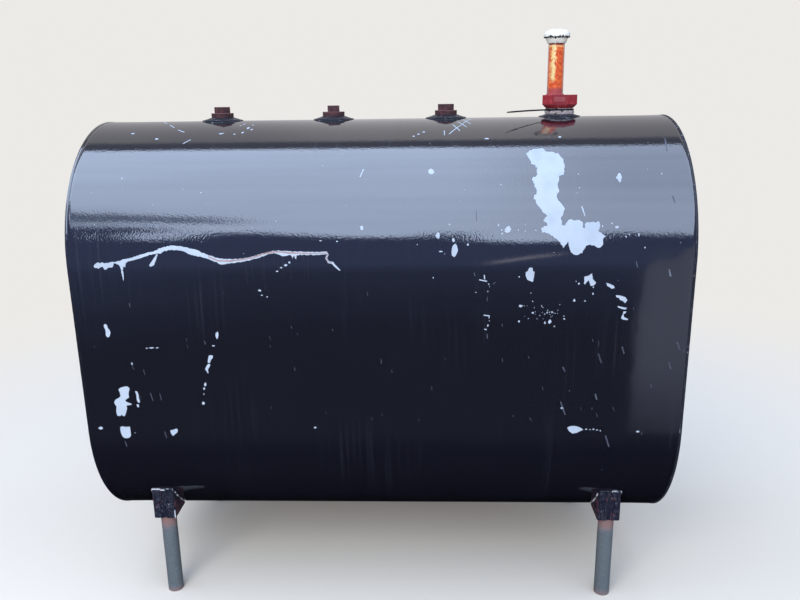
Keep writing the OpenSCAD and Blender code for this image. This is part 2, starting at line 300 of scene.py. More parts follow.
dimming = add(dome, "MapRange", {0: way_x, 1: 0.02, 2: 0.28, 3: 1.0, 4: RIGHT_SIDE_DIM}, **SOFT)
drawn_cloth = add(dome, "Mapping", {"Vector": direction, "Scale": FOLDS})
cloth = add(dome, "TexNoise", {"Vector": drawn_cloth, "Scale": 1.0, "Detail": 2.0})
cloth = add(dome, "MapRange", {0: cloth, 1: 0.3, 2: 0.7, 3: FOLD_DIM, 4: FOLD_BRIGHT})
dimming = add(dome, "Math", {0: dimming, 1: cloth}, operation="MULTIPLY")
top_gain = {0: way_x, 1: 0.0, 2: 0.22, 3: OVERHEAD_LEFT, 4: OVERHEAD_RIGHT}
top_gain = add(dome, "MapRange", top_gain, **SOFT)
overhead = add(dome, "MapRange", {0: lean_back, 1: -1.2, 2: -0.3, 3: 1.0, 4: top_gain}, **SOFT)
dimming = add(dome, "Math", {0: dimming, 1: overhead}, operation="MULTIPLY")
soft_box = add(dome, "VectorMath", {0: SOFT_BOX[:3], "Scale": dimming}, operation="SCALE")
print("soft box radiance:", [round(v, 2) for v in SOFT_BOX[:3]])

# %% [markdown]
# ### Screens behind
#
# The top of the round mirrors what stands behind the tank. Pale screens stand there, darker
# towards both sides. A darker valance hangs over them, under the rear edge of the box, and
# is mirrored as the dark line between the pale crown and the band.

# %% Pale screens and their valance
VALANCE_SLOPE = 0.46
VALANCE_BLUR = 0.03
VALANCE = paint("6f727e")
REAR_SCREEN = paint("c5c4c8")
SIDE_SCREENS = paint("aeadb2")

behind = add(dome, "MapRange", {0: way_y, 1: -0.1, 2: 0.1}, **SOFT)
at_screens = add(dome, "Math", {0: behind, 1: above_floor}, operation="MULTIPLY")
under_valance = {0: lean_back, 1: VALANCE_SLOPE - VALANCE_BLUR, 2: VALANCE_SLOPE + VALANCE_BLUR}
past_valance = add(dome, "MapRange", under_valance, **SOFT)
off_middle = add(dome, "Math", {0: way_x}, operation="ABSOLUTE")
to_side = add(dome, "MapRange", {0: off_middle, 1: 0.08, 2: 0.26}, **SOFT)
screens = add(dome, "Mix", {0: to_side, 6: REAR_SCREEN, 7: SIDE_SCREENS}, **COLOURS)
screens = add(dome, "Mix", {0: past_valance, 6: VALANCE, 7: screens}, **COLOURS)
print("screens behind:", [round(v, 2) for v in REAR_SCREEN[:3]])

# %% [markdown]
# ### The dim room in front
#
# Below the pale band the flat side mirrors what is in front of it. That is dusk just under
# the horizon, then a dim room that gets darker towards the ground. To the right stands a
# grey card whose upright edge leans, and which fades out at its foot. All of it is kept to
# the front half of the dome, so that the ends and the rear of the tank don't mirror it. A
# thin bright rail slants across the room and shows as a short faint streak under the band.

# %% Dusk, dim room and grey card
GREY_CARD = paint("868ca0")
CARD_LEFT = 0.29
CARD_LEAN = 0.1
CARD_BEND = -0.28
CARD_TOP = 0.06
CARD_FOOT = -0.47
CARD_FADE = 0.18
CARD_EDGE = 0.0015
CARD_TOP_BLUR = 0.02
DUSK = paint("5a6890")
DUSK_FROM = -0.31
DUSK_TO = -0.12
ROOM = paint("282a30")
ROOM_BELOW = paint("08080a")
ROOM_DARKENS = -0.4
ROOM_DARKEST = -0.72

nearness = add(dome, "Math", {0: way_y, 1: -0.02}, operation="MINIMUM")
card_side = add(dome, "Math", {0: way_x, 1: nearness}, operation="DIVIDE")
over_bend = add(dome, "Math", {0: way_z, 1: CARD_BEND}, operation="SUBTRACT")
over_bend = add(dome, "Math", {0: over_bend, 1: 0.0}, operation="MAXIMUM")
past_edge = {0: over_bend, 1: CARD_LEAN, 2: card_side}
past_edge = add(dome, "Math", past_edge, operation="MULTIPLY_ADD")
card_edge = {0: past_edge, 1: -CARD_LEFT + CARD_EDGE, 2: -CARD_LEFT - CARD_EDGE}
right_of = add(dome, "MapRange", card_edge, **SOFT)
card_rim = {0: way_z, 1: CARD_TOP + CARD_TOP_BLUR, 2: CARD_TOP - CARD_TOP_BLUR}
below = add(dome, "MapRange", card_rim, **SOFT)
in_card = add(dome, "Math", {0: right_of, 1: below}, operation="MULTIPLY")
card_ends = add(dome, "MapRange", {0: way_z, 1: CARD_FOOT, 2: CARD_FOOT + CARD_FADE}, **SOFT)
in_card = add(dome, "Math", {0: in_card, 1: card_ends}, operation="MULTIPLY")
before_us = add(dome, "MapRange", {0: way_y, 1: -0.1, 2: -0.3}, **SOFT)
in_card = add(dome, "Math", {0: in_card, 1: before_us}, operation="MULTIPLY")
dusky = add(dome, "MapRange", {0: way_z, 1: DUSK_FROM, 2: DUSK_TO}, **SOFT)
dusky = add(dome, "Math", {0: dusky, 1: before_us}, operation="MULTIPLY")
low_down = add(dome, "MapRange", {0: way_z, 1: ROOM_DARKENS, 2: ROOM_DARKEST}, **SOFT)
dim_room = add(dome, "Mix", {0: low_down, 6: ROOM, 7: ROOM_BELOW}, **COLOURS)
in_front = add(dome, "Mix", {0: dusky, 6: dim_room, 7: DUSK}, **COLOURS)
in_front = add(dome, "Mix", {0: in_card, 6: in_front, 7: GREY_CARD}, **COLOURS)
print("the card stands right of", CARD_LEFT, "and ends at", CARD_FOOT)

# %% A bright rail
RAIL = paint("d8d4ea")
RAIL_SLANT = -1.55
RAIL_HEIGHT = 0.282

off_rail = {0: way_x, 1: RAIL_SLANT, 2: RAIL_HEIGHT}
off_rail = add(dome, "Math", off_rail, operation="MULTIPLY_ADD")
off_rail = add(dome, "Math", {0: off_rail, 1: way_z}, operation="ADD")
off_rail = add(dome, "Math", {0: off_rail}, operation="ABSOLUTE")
in_rail = add(dome, "MapRange", {0: off_rail, 1: 0.035, 2: 0.01, 4: 0.8}, **SOFT)
rail_from = add(dome, "MapRange", {0: way_x, 1: 0.07, 2: 0.11}, **SOFT)
rail_to = add(dome, "MapRange", {0: way_x, 1: 0.19, 2: 0.15}, **SOFT)
for limit in (rail_from, rail_to):
    in_rail = add(dome, "Math", {0: in_rail, 1: limit}, operation="MULTIPLY")
in_front = add(dome, "Mix", {0: in_rail, 6: in_front, 7: RAIL}, **COLOURS)
print("rail slants by", RAIL_SLANT)

# %% [markdown]
# ### The whole dome
#
# The parts are laid over one another: the room in front, the screens, the soft box. The
# camera itself doesn't look at the studio. For rays that come straight from it, a Light Path
# node swaps the whole dome for an even pale backdrop.

# %% The whole dome
BACKDROP = paint("eceae7")

room = add(dome, "Mix", {0: at_screens, 6: in_front, 7: screens}, **COLOURS)
lit_room = add(dome, "Mix", {0: in_box, 6: room, 7: soft_box}, **COLOURS)
by_camera = add(dome, "LightPath", output="Is Camera Ray")
shown = add(dome, "Mix", {0: by_camera, 6: lit_room, 7: BACKDROP}, **COLOURS)
add(dome, "OutputWorld", {"Surface": add(dome, "Background", {"Color": shown})})
print("the dome's nodes:", len(dome.nodes))

# %% [markdown]
# ### Fill lamp
#
# The plugs, the gauge and the legs aren't mirrors, and need some plain light from in front.
# One large soft lamp gives it. The lamp is left out of what gloss mirrors, so that the
# enamel shows no second light.

# %% Fill lamp in front
FILL_PLACE = Vector((-1.2, -3.2, 2.6))
FILL_SIZE = 2.2
FILL_POWER = 80.0

fill_data = bpy.data.lights.new("fill", "AREA")
fill_data.shape = "DISK"
fill_data.size = FILL_SIZE
fill_data.energy = FILL_POWER
fill = bpy.data.objects.new("fill", fill_data)
scene.collection.objects.link(fill)
aim = (Vector((0, 0, UPPER_Z)) - FILL_PLACE).to_track_quat("-Z", "Y")
fill.matrix_world = Matrix.Translation(FILL_PLACE) @ aim.to_matrix().to_4x4()
fill.visible_glossy = False
print("fill lamp:", FILL_POWER, "watts")

# %% [markdown]
# ## Floor
#
# The floor is a plain pale sheet that takes the tank's shadow and fades into the backdrop
# further off, so that no horizon shows. A photographer lays black cloth where a white floor
# would show in black gloss; here the floor is simply left out of what gloss mirrors.

# %% Floor
FLOOR_REACH = 9.0
FADE_FROM = 1.3
FADE_TO = 3.6


def floor_finish():
    """Pale matt card that fades into the backdrop's colour."""
    finish, tree = new_finish("pale_card")
    place = add(tree, "TexCoord", output="Object")
    far = add(tree, "VectorMath", {0: place}, output="Value", operation="LENGTH")
    faded = add(tree, "MapRange", {0: far, 1: FADE_FROM, 2: FADE_TO}, **SOFT)
    card = add(tree, "BsdfDiffuse", {"Color": paint("dfd6c6")})
    glow = add(tree, "Emission", {"Color": BACKDROP})
    add(tree, "OutputMaterial", {0: add(tree, "MixShader", {0: faded, 1: card, 2: glow})})
    return finish


bm = bmesh.new()
bmesh.ops.create_grid(bm, x_segments=1, y_segments=1, size=FLOOR_REACH)
floor_mesh = bpy.data.meshes.new("floor")
bm.to_mesh(floor_mesh)
bm.free()
floor_mesh.materials.append(floor_finish())
floor = bpy.data.objects.new("floor", floor_mesh)
scene.collection.objects.link(floor)
floor.visible_glossy = False
print("floor:", 2 * FLOOR_REACH, "metres square")

# %% [markdown]
# ## Making pieces
#
# Each piece starts as a bmesh, is shaped by its operators, and then becomes an object that
# rides on the construction model. Three ways of shaping come up again and again. Round
# pieces, such as plugs and caps, are turned: a half outline is spun about an upright axis.
# What follows the tank, such as the sheet, the heads and the end welds, is a profile carried
# once round the obround. Weld metal is a bead: a small ring pushed along a path.

# %% From bmesh to piece
SMOOTH_UP_TO = radians(38)


def new_piece(bm, name, finish, replaces=(), solid=True):
    """Turns a bmesh into a piece of the object that rides on the construction model."""
    if solid:
        bmesh.ops.remove_doubles(bm, verts=bm.verts, dist=0.002 * MM)
        bmesh.ops.recalc_face_normals(bm, faces=bm.faces)
    mesh = bpy.data.meshes.new(name)
    bm.to_mesh(mesh)
    bm.free()
    for face in mesh.polygons:
        face.use_smooth = True
    mesh.set_sharp_from_angle(angle=SMOOTH_UP_TO)
    mesh.materials.append(finish)
    piece = bpy.data.objects.new(name, mesh)
    scene.collection.objects.link(piece)
    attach(piece, "root")
    if replaces:
        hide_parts(*replaces)
    print(name, "-", len(mesh.polygons), "faces")
    return piece


def round_off(piece, width, segments=2):
    """Rounds a piece's sharp edges with a modifier."""
    bevel = piece.modifiers.new("rounded_edges", "BEVEL")
    bevel.width = width
    bevel.segments = segments
    bevel.limit_method = "ANGLE"
    bevel.angle_limit = radians(40)


def give_wall(piece, thickness):
    """Gives an open skin its thickness, inwards."""
    wall = piece.modifiers.new("wall", "SOLIDIFY")
    wall.thickness = thickness
    wall.offset = -1
    wall.use_even_offset = True


# %% Turned shapes


def draw_line(bm, points, closed=False):
    """Draws a line of points, open or closed, and gives back its edges."""
    verts = [bm.verts.new(p) for p in points]
    pairs = list(zip(verts, verts[1:])) + ([(verts[-1], verts[0])] if closed else [])
    return [bm.edges.new(pair) for pair in pairs]


def turn_outline(bm, place, outline, closed=True, steps=64):
    """Spins an outline of (radius, height) in millimetres about an upright axis."""
    points = [place + Vector((r * MM, 0, h * MM)) for r, h in outline]
    edges = draw_line(bm, points, closed)
    verts = list({v for e in edges for v in e.verts})
    bmesh.ops.spin(
        bm,
        geom=verts + edges,
        cent=place,
        axis=(0, 0, 1),
        angle=2 * pi,
        steps=steps,
        use_merge=True,
    )
    bmesh.ops.remove_doubles(bm, verts=bm.verts, dist=0.002 * MM)


def arc(centre_r, centre_h, radius, from_deg, to_deg, steps=4):
    """Points of an arc in an outline, in millimetres."""
    turns = [radians(from_deg + (to_deg - from_deg) * i / steps) for i in range(steps + 1)]
    return [(centre_r + radius * cos(t), centre_h + radius * sin(t)) for t in turns]


print("a quarter round of 2 mm:", [(round(r, 1), round(h, 1)) for r, h in arc(0, 0, 2, 0, 90, 2)])

# %% Profiles carried round the tank


def extruded(bm, edges):
    """Extrudes edges where they are, and gives back the new points and their edges."""
    made = bmesh.ops.extrude_edge_only(bm, edges=edges)["geom"]
    points = {g for g in made if isinstance(g, bmesh.types.BMVert)}
    lines = [g for g in made if isinstance(g, bmesh.types.BMEdge)]
    return list(points), [line for line in lines if set(line.verts) <= points]


def carry_round(bm, edges, round_steps, straight_steps):
    """Carries edges, drawn on the front at the upper centre, once round the tank."""
    for centre_z, way in ((UPPER_Z, -STRAIGHT), (LOWER_Z, STRAIGHT)):
        verts = list({v for e in edges for v in e.verts})
        made = bmesh.ops.spin(
            bm,
            geom=verts + edges,
            cent=(0, 0, centre_z),
            axis=(-1, 0, 0),
            angle=pi,
            steps=round_steps,
        )
        edges = [g for g in made["geom_last"] if isinstance(g, bmesh.types.BMEdge)]
        for _ in range(straight_steps):
            points, edges = extruded(bm, edges)
            bmesh.ops.translate(bm, verts=points, vec=(0, 0, way / straight_steps))
    bmesh.ops.remove_doubles(bm, verts=bm.verts, dist=0.01 * MM)


print("once round the tank:", round(2 * (2 * QUARTER + STRAIGHT) / MM), "mm")

# %% Weld beads
RIPPLE_BROAD = 0.22
RIPPLE_FINE = 0.12


def lay_bead(bm, path, radius, sides=8, closed=False, squash=1.0):
    """Pushes a ring along a path, with ripples where the weld metal froze."""
    count = len(path)
    stations = []
    for i, point in enumerate(path):
        ahead = path[(i + 1) % count] if closed or i + 1 < count else point
        back = path[i - 1] if closed or i > 0 else point
        along = (ahead - back).normalized()
        side = along.cross(out_of_tank(point)).normalized()
        out = side.cross(along)
        ripple = RIPPLE_BROAD * noise.noise(point * 160) + RIPPLE_FINE * noise.noise(point * 420)
        size = radius * (1 + ripple)
        turn = Matrix((side, out, along)).transposed().to_4x4()
        grow = Matrix.Diagonal((size, size * squash, size, 1))
        stations.append(Matrix.Translation(point) @ turn @ grow)
    ring = bmesh.ops.create_circle(bm, segments=sides, radius=1.0, matrix=stations[0])["verts"]
    first = list({e for v in ring for e in v.link_edges})
    edges = first
    for before, after in zip(stations, stations[1:]):
        points, edges = extruded(bm, edges)
        bmesh.ops.transform(bm, matrix=after @ before.inverted(), verts=points)
    if closed:
        bmesh.ops.bridge_loops(bm, edges=edges + first)
    else:
        bmesh.ops.edgeloop_fill(bm, edges=first)
        bmesh.ops.edgeloop_fill(bm, edges=edges)


print("a bead swells by up to", round(100 * (RIPPLE_BROAD + RIPPLE_FINE)), "per cent")

# %% [markdown]
# ## The rolled sheet
#
# The body of the tank is one sheet of 2.7 mm steel, rolled round and welded along its
# length. It isn't true: between the two ends, which hold it, it lies a few tenths of a
# millimetre in or out. Nobody would see that on matt paint, but gloss paint shows it as waves
# in what it mirrors. So the skin here is a real mesh that is pushed in by a smooth noise of
# under a millimetre. The noise reads the place in space, so that it has no seam at the keel.
# The skin also gets a map of its own, with the way along the tank and the way round it in
# metres, which the finish uses.

# %% Dents in the sheet
HELD_NEAR_END = 90 * MM
DENT_MIDDLE = 0.62 * MM
DENT_BROAD = 0.42 * MM
DENT_LONG = 0.12 * MM
SHEET_THICKNESS = 2.7 * MM


def dent_at(point):
    """How far the sheet lies inside its true round at a point."""
    free = min(1.0, max(0.0, (SHEET_END - abs(point.x)) / HELD_NEAR_END))
    free = free * free * (3 - 2 * free)
    broad = noise.noise(Vector((3.0 * point.x, 4.6 * point.y, 4.6 * point.z)))
    lengthwise = noise.noise(Vector((1.2 * point.x, 17 * point.y, 17 * point.z + 5)))
    return free * (DENT_MIDDLE + DENT_BROAD * broad + DENT_LONG * lengthwise)


def on_sheet(x, girth, lift=0.0):
    """A point on the dented sheet, by the way along the tank and the girth down the front."""
    if girth < QUARTER:
        turn, centre_z = girth / ROUND, UPPER_Z
    elif girth < QUARTER + STRAIGHT:
        turn, centre_z = pi / 2, UPPER_Z - (girth - QUARTER)
    else:
        turn, centre_z = (girth - STRAIGHT) / ROUND, LOWER_Z
    out = Vector((0, -sin(turn), cos(turn)))
    true_place = Vector((x, 0, centre_z)) + ROUND * out
    return true_place + out * (lift - dent_at(true_place))


middle_dent = dent_at(Vector((0, -ROUND, UPPER_Z)))
print("the sheet lies", round(middle_dent / MM, 2), "mm inside its true round in the middle")

# %% The skin
SKIN_PITCH = 13 * MM


def rolled_skin():
    """A straight line along the tank, carried once round it and pushed in by the dents."""
    bm = bmesh.new()
    count = round(2 * SHEET_END / SKIN_PITCH)
    xs = [-SHEET_END + 2 * SHEET_END * i / count for i in range(count + 1)]
    edges = draw_line(bm, [(x, -ROUND, UPPER_Z) for x in xs])
    carry_round(bm, edges, round(2 * QUARTER / SKIN_PITCH), round(STRAIGHT / SKIN_PITCH))
    bmesh.ops.recalc_face_normals(bm, faces=bm.faces)
    face = bm.faces[:][0]
    if face.normal.dot(out_of_tank(face.calc_center_median())) < 0:
        bmesh.ops.reverse_faces(bm, faces=bm.faces)
    for vert in bm.verts:
        vert.co -= out_of_tank(vert.co) * dent_at(vert.co)
    sheet_map = bm.loops.layers.uv.new("sheet")
    for face in bm.faces:
        front = face.calc_center_median().y <= 0
        for loop in face.loops:
            way = girth_of(loop.vert.co)
            loop[sheet_map].uv = (loop.vert.co.x, -way if front else way)
    return bm


# %% [markdown]
# ## Black enamel
#
# The tank was sprayed with black gloss enamel, which now has a faint navy cast, fine rain
# streaks and specks. A sprayed coat dries with orange peel, waves of a few millimetres that
# are only hundredths of a millimetre high, and those break up the edges of what it mirrors.
# Here the peel is drawn higher than that on the round top, because so fine a wave would not
# show, and hardly at all on the flat sides, where the paint had time to flow out. A second,
# longer ripple runs over the whole sheet. Enamel has an index of refraction of about 1.5.
# The photograph shows a stronger mirror image than that gives under a plain light, so the
# paint is raised to 1.95, under a clear coat of 1.8. The coat takes the same bumps.

# %% Enamel
ENAMEL = paint("12131c")
ENAMEL_DUST = paint("3c3f49")
ENAMEL_SPECK = paint("8e99ab")
ENAMEL_IOR = 1.95
COAT_IOR = 1.8
PEEL_WAVE = 4.5 * MM
PEEL_HEIGHT = 0.16 * MM
COARSE_ABOVE = UPPER_Z + 90 * MM
PEEL_ON_FLAT = 0.05
RIPPLE_WAVE = 45 * MM
RIPPLE_HEIGHT = 0.08 * MM
STREAK_WIDTH = 9 * MM
STREAK_LENGTH = 420 * MM
CLOUD = 240 * MM
DUST_SHOWN = 0.25
SPECK_PITCH = 34 * MM
SPECK_SIZE = 1.4 * MM


def sprayed_enamel(name, on_skin):
    """Black gloss enamel on steel: mirror-like, with orange peel, rain streaks and specks."""
    finish, tree = new_finish(name)
    place = add(tree, "TexCoord", output="Object")
    streak_place, streak_scale = place, (1 / STREAK_WIDTH, 1 / STREAK_WIDTH, 1 / STREAK_LENGTH)
    if on_skin:
        streak_place = add(tree, "UVMap", uv_map="sheet")
        streak_scale = (1 / STREAK_WIDTH, 1 / STREAK_LENGTH, 1.0)
    drawn_out = add(tree, "Mapping", {"Vector": streak_place, "Scale": streak_scale})
    streaks = add(tree, "TexNoise", {"Vector": drawn_out, "Scale": 1.0, "Detail": 3.0})
    clouds = add(tree, "TexNoise", {"Vector": place, "Scale": 1 / CLOUD, "Detail": 3.0})
    streaky = add(tree, "MapRange", {0: streaks, 1: 0.5, 2: 0.8}, **SOFT)
    cloudy = add(tree, "MapRange", {0: clouds, 1: 0.4, 2: 0.7}, **SOFT)
    dusty = add(tree, "Math", {0: streaky, 1: cloudy}, operation="MULTIPLY")
    thin_dust = add(tree, "Math", {0: dusty, 1: DUST_SHOWN}, operation="MULTIPLY")
    colour = add(tree, "Mix", {0: thin_dust, 6: ENAMEL, 7: ENAMEL_DUST}, **COLOURS)
    spots = add(tree, "TexVoronoi", {"Vector": place, "Scale": 1 / SPECK_PITCH})
    speck = SPECK_SIZE / SPECK_PITCH
    near = add(tree, "MapRange", {0: spots, 1: speck, 2: 0.3 * speck}, **SOFT)
    lot = add(tree, "SeparateColor", {0: spots.node.outputs["Color"]})
    few = add(tree, "MapRange", {0: lot, 1: 0.62, 2: 0.9}, **SOFT)
    specks = add(tree, "Math", {0: near, 1: few}, operation="MULTIPLY")
    colour = add(tree, "Mix", {0: specks, 6: colour, 7: ENAMEL_SPECK}, **COLOURS)
    roughness = add(tree, "MapRange", {0: dusty, 3: 0.07, 4: 0.2}, **SOFT)
    ripple = add(tree, "TexNoise", {"Vector": place, "Scale": 1 / RIPPLE_WAVE, "Detail": 1.0})
    peel = add(tree, "TexNoise", {"Vector": place, "Scale": 1 / PEEL_WAVE, "Detail": 1.0})
    waves = add(tree, "Bump", {"Height": ripple, "Distance": RIPPLE_HEIGHT})
    height = add(tree, "SeparateXYZ", {0: place}, output="Z")
    coarse = {0: height, 1: UPPER_Z, 2: COARSE_ABOVE, 3: PEEL_ON_FLAT, 4: 1.0}
    coarse = add(tree, "MapRange", coarse, **SOFT)
    peel_bump = {"Height": peel, "Distance": PEEL_HEIGHT, "Strength": coarse, "Normal": waves}
    waves = add(tree, "Bump", peel_bump)
    look = {
        "Base Color": colour,
        "Roughness": roughness,
        "Normal": waves,
        "IOR": ENAMEL_IOR,
        "Coat Weight": 1.0,
        "Coat IOR": COAT_IOR,
        "Coat Roughness": 0.04,
        "Coat Normal": waves,
    }
    add(tree, "OutputMaterial", {0: add(tree, "BsdfPrincipled", look)})
    return finish


skin_enamel = sprayed_enamel("sprayed_black_enamel", on_skin=True)
enamel = sprayed_enamel("brushed_black_enamel", on_skin=False)
tank_sheet = new_piece(rolled_skin(), "tank_sheet", skin_enamel, ["shell"], solid=False)
give_wall(tank_sheet, SHEET_THICKNESS)

# %% [markdown]
# ## Pressed ends
#
# Each end is a flat sheet whose edge was pressed over into a flange, which slides into the
# rolled sheet with its bend facing out. The face therefore lies a little way inside the
# tank. The visible side of half a section, from the edge of the flange to the middle of the
# face, is carried round the obround and gives the whole end in one go. The big flat face
# drums a little in and out, as thin sheet does.

# %% Pressed ends
HEAD_RECESS = 25 * MM
KNUCKLE = 18 * MM
HEAD_PLAY = 0.2 * MM
FACE_STEPS = 14
END_ROUND_STEPS = 72
END_STRAIGHT_STEPS = 29
FACE_DRUM = 1.6 * MM


def pressed_end(side):
    """The visible side of a pressed end: flange, bend and face."""
    flange_r = ROUND - 2 * SHEET_THICKNESS - HEAD_PLAY
    bend_r = KNUCKLE - SHEET_THICKNESS
    bend_depth = HEAD_RECESS - bend_r
    section = [(flange_r, 0.0), (flange_r, bend_depth / 2)]
    for i in range(7):
        turn = pi / 2 * i / 6
        section.append((flange_r - bend_r + bend_r * cos(turn), bend_depth + bend_r * sin(turn)))
    face_r = flange_r - bend_r
    section += [(face_r * (1 - i / FACE_STEPS), HEAD_RECESS) for i in range(1, FACE_STEPS + 1)]
    bm = bmesh.new()
    edges = draw_line(bm, [(side * (SHEET_END - depth), -r, UPPER_Z) for r, depth in section])
    carry_round(bm, edges, END_ROUND_STEPS, END_STRAIGHT_STEPS)
    bmesh.ops.dissolve_degenerate(bm, edges=bm.edges, dist=TOUCHING)
    bmesh.ops.recalc_face_normals(bm, faces=bm.faces)
    face = max(bm.faces, key=lambda f: abs(f.normal.x))
    if face.normal.x * side < 0:
        bmesh.ops.reverse_faces(bm, faces=bm.faces)
    for vert in bm.verts:
        centre = Vector((0, 0, min(max(vert.co.z, LOWER_Z), UPPER_Z)))
        inside = ROUND - Vector((0, vert.co.y, vert.co.z - centre.z)).length
        free = min(1.0, max(0.0, (inside - 30 * MM) / (120 * MM)))
        drum = noise.noise(Vector((7 * side, 3.4 * vert.co.y, 2.6 * vert.co.z)))
        vert.co.x += FACE_DRUM * free * free * (3 - 2 * free) * drum
    return bm


for side, end in ((-1, "left"), (1, "right")):
    pressed = new_piece(
        pressed_end(side), "pressed_end_" + end, enamel, ["head_" + end], solid=False
    )
    give_wall(pressed, SHEET_THICKNESS)

# %% [markdown]
# ## End welds and seam
#
# A weld runs all round each end. It closes the edges of the sheet and of the flange and
# laps a few millimetres over the sheet, and from in front it is the thin raised line at both
# ends of the tank. Its small section is drawn with rounded corners and carried round, and a
# fine noise then gives it the unevenness of hand-laid weld metal. The seam of the rolled
# sheet lies on the rear side and is a low bead from end to end. The right end weld and the
# flanges are duller than the sheet, as if enamel had been brushed on thickly over them, and
# dust sits in the brush marks. They get a finish of their own, with plain enamel's index and
# no clear coat, and one noise both raises the marks and says where the dust is caught.

# %% Thick brushed enamel
THICK_ENAMEL = paint("22232b")
CAUGHT_DUST = paint("a9aeb8")
BRUSH_MARK = 5 * MM
BRUSH_HEIGHT = 0.5 * MM


def thick_enamel():
    """Enamel brushed thickly over rough steel: dull, uneven, with dust in its marks."""
    finish, tree = new_finish("thick_brushed_enamel")
    place = add(tree, "TexCoord", output="Object")
    marks = add(tree, "TexNoise", {"Vector": place, "Scale": 1 / BRUSH_MARK, "Detail": 4.0})
    caught = add(tree, "MapRange", {0: marks, 1: 0.6, 2: 0.72, 4: 0.7}, **SOFT)
    colour = add(tree, "Mix", {0: caught, 6: THICK_ENAMEL, 7: CAUGHT_DUST}, **COLOURS)
    uneven = add(tree, "Bump", {"Height": marks, "Distance": BRUSH_HEIGHT})
    look = {"Base Color": colour, "Roughness": 0.36, "Normal": uneven, "IOR": 1.42}
    add(tree, "OutputMaterial", {0: add(tree, "BsdfPrincipled", look)})
    return finish


brushed_over = thick_enamel()
print("finish of the flanges:", brushed_over.name)

# %% End welds and seam
WELD_CAP = 1.4
WELD_LAP = 5.6
WELD_PROUD = 1.2
WELD_UNEVEN = 0.28 * MM
WELD_ROUND_STEPS = 216
WELD_STRAIGHT_STEPS = 87
SEAM_BEAD_R = 3.2 * MM
SEAM_SQUASH = 0.3
SEAM_STEPS = 300


def end_weld(side):
    """Weld metal over the edges of the sheet and the flange, lapping the sheet."""
    edge_r = ROUND / MM
    section = [(edge_r - 5.5, 0.0), (edge_r - 5.2, -WELD_CAP * 0.8), (edge_r - 3, -WELD_CAP)]
    section += [(edge_r - 1, -WELD_CAP), (edge_r + 0.5, -0.9), (edge_r + WELD_PROUD, 0.4)]
    section += [(edge_r + WELD_PROUD, 2.6), (edge_r + 0.8, WELD_LAP - 0.8), (edge_r - 0.2, WELD_LAP)]
    section += [(edge_r - 1.4, WELD_LAP - 0.6), (edge_r - 1.4, 0.0)]
    bm = bmesh.new()
    points = [(side * (SHEET_END - depth * MM), -r * MM, UPPER_Z) for r, depth in section]
    edges = draw_line(bm, points, closed=True)
    carry_round(bm, edges, WELD_ROUND_STEPS, WELD_STRAIGHT_STEPS)
    for vert in bm.verts:
        uneven = noise.noise(vert.co * 90) + 0.6 * noise.noise(vert.co * 240)
        vert.co -= out_of_tank(vert.co) * WELD_UNEVEN * (1 + uneven)
        vert.co.x -= side * 0.2 * MM * (1 + noise.noise(vert.co * 130))
    return bm


for side, end, coat in ((-1, "left", enamel), (1, "right", brushed_over)):
    new_piece(end_weld(side), "end_weld_" + end, coat, ["rim_weld_" + end])

seam_z = middle_of("seam_weld").z
seam_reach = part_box("seam_weld")[1].x
bm = bmesh.new()
seam_xs = [-seam_reach + 2 * seam_reach * i / SEAM_STEPS for i in range(SEAM_STEPS + 1)]
seam_path = [Vector((x, ROUND - 0.2 * MM, seam_z)) for x in seam_xs]
lay_bead(bm, seam_path, SEAM_BEAD_R, sides=10, squash=SEAM_SQUASH)
new_piece(bm, "rolled_seam", enamel, ["seam_weld"])

# %% [markdown]
# ## Threaded flanges
#
# Four flanges stand in a row on the crown, and one hangs under the tank as its outlet. Each
# is a forged ring: a low cone that rises to a hub with a 2 inch pipe thread. Its underside
# was scribed to the round of the tank and it was welded on all round. The outline is turned,
# and then every point that would reach into the sheet is lifted onto the sheet's own curve.

# %% Flanges with their welds
FLANGE_R = 52.0
HUB_R = 33.5
BORE_R = 30.3
HUB_RISE = 8.0
HUB_DROP = 12.0
FLANGE_EDGE = 1.5
FLANGE_SUNK = 0.9
FOOT_WELD_R = 2.3
FOOT_WELD_STEPS = 110


def crown_height(y):
    """Height of the round top at a distance from the crown line."""
    return UPPER_Z + sqrt(ROUND**2 - y**2)


def threaded_flange(x):
    """Turned ring with its cone scribed to the round top, and the weld round its foot."""
    bm = bmesh.new()
    outline = [(BORE_R, -HUB_DROP), (BORE_R, HUB_RISE - 1), (BORE_R + 0.8, HUB_RISE)]
    outline += [(HUB_R - 0.6, HUB_RISE), (HUB_R + 0.4, HUB_RISE - 0.7)]
    outline += [(HUB_R + 6, HUB_RISE - 2.6), (FLANGE_R - 4, FLANGE_EDGE + 1.2)]
    outline += [(FLANGE_R - 0.6, FLANGE_EDGE + 0.2), (FLANGE_R, FLANGE_EDGE - 0.5)]
    outline += [(FLANGE_R, -6.0), (HUB_R + 6, -6.0), (HUB_R, -6.0), (HUB_R, -HUB_DROP)]
    turn_outline(bm, Vector((x, 0, CROWN_Z)), outline, steps=72)
    for vert in bm.verts:
        reach = sqrt((vert.co.x - x) ** 2 + vert.co.y**2)
        if reach > (HUB_R + 1) * MM and vert.co.z < crown_height(vert.co.y):
            vert.co.z = crown_height(vert.co.y) - FLANGE_SUNK * MM
    turns = [2 * pi * i / FOOT_WELD_STEPS for i in range(FOOT_WELD_STEPS)]
    foot = (FLANGE_R + 0.8) * MM
    path = [Vector((x + foot * cos(t), foot * sin(t), crown_height(foot * sin(t)))) for t in turns]
    lay_bead(bm, path, FOOT_WELD_R * MM, closed=True, squash=0.8)
    return bm


for i in range(1, 5):
    name = "spud_%d" % i
    bm = threaded_flange(middle_of(name).x)
    new_piece(bm, "threaded_flange_%d" % i, brushed_over, [name])

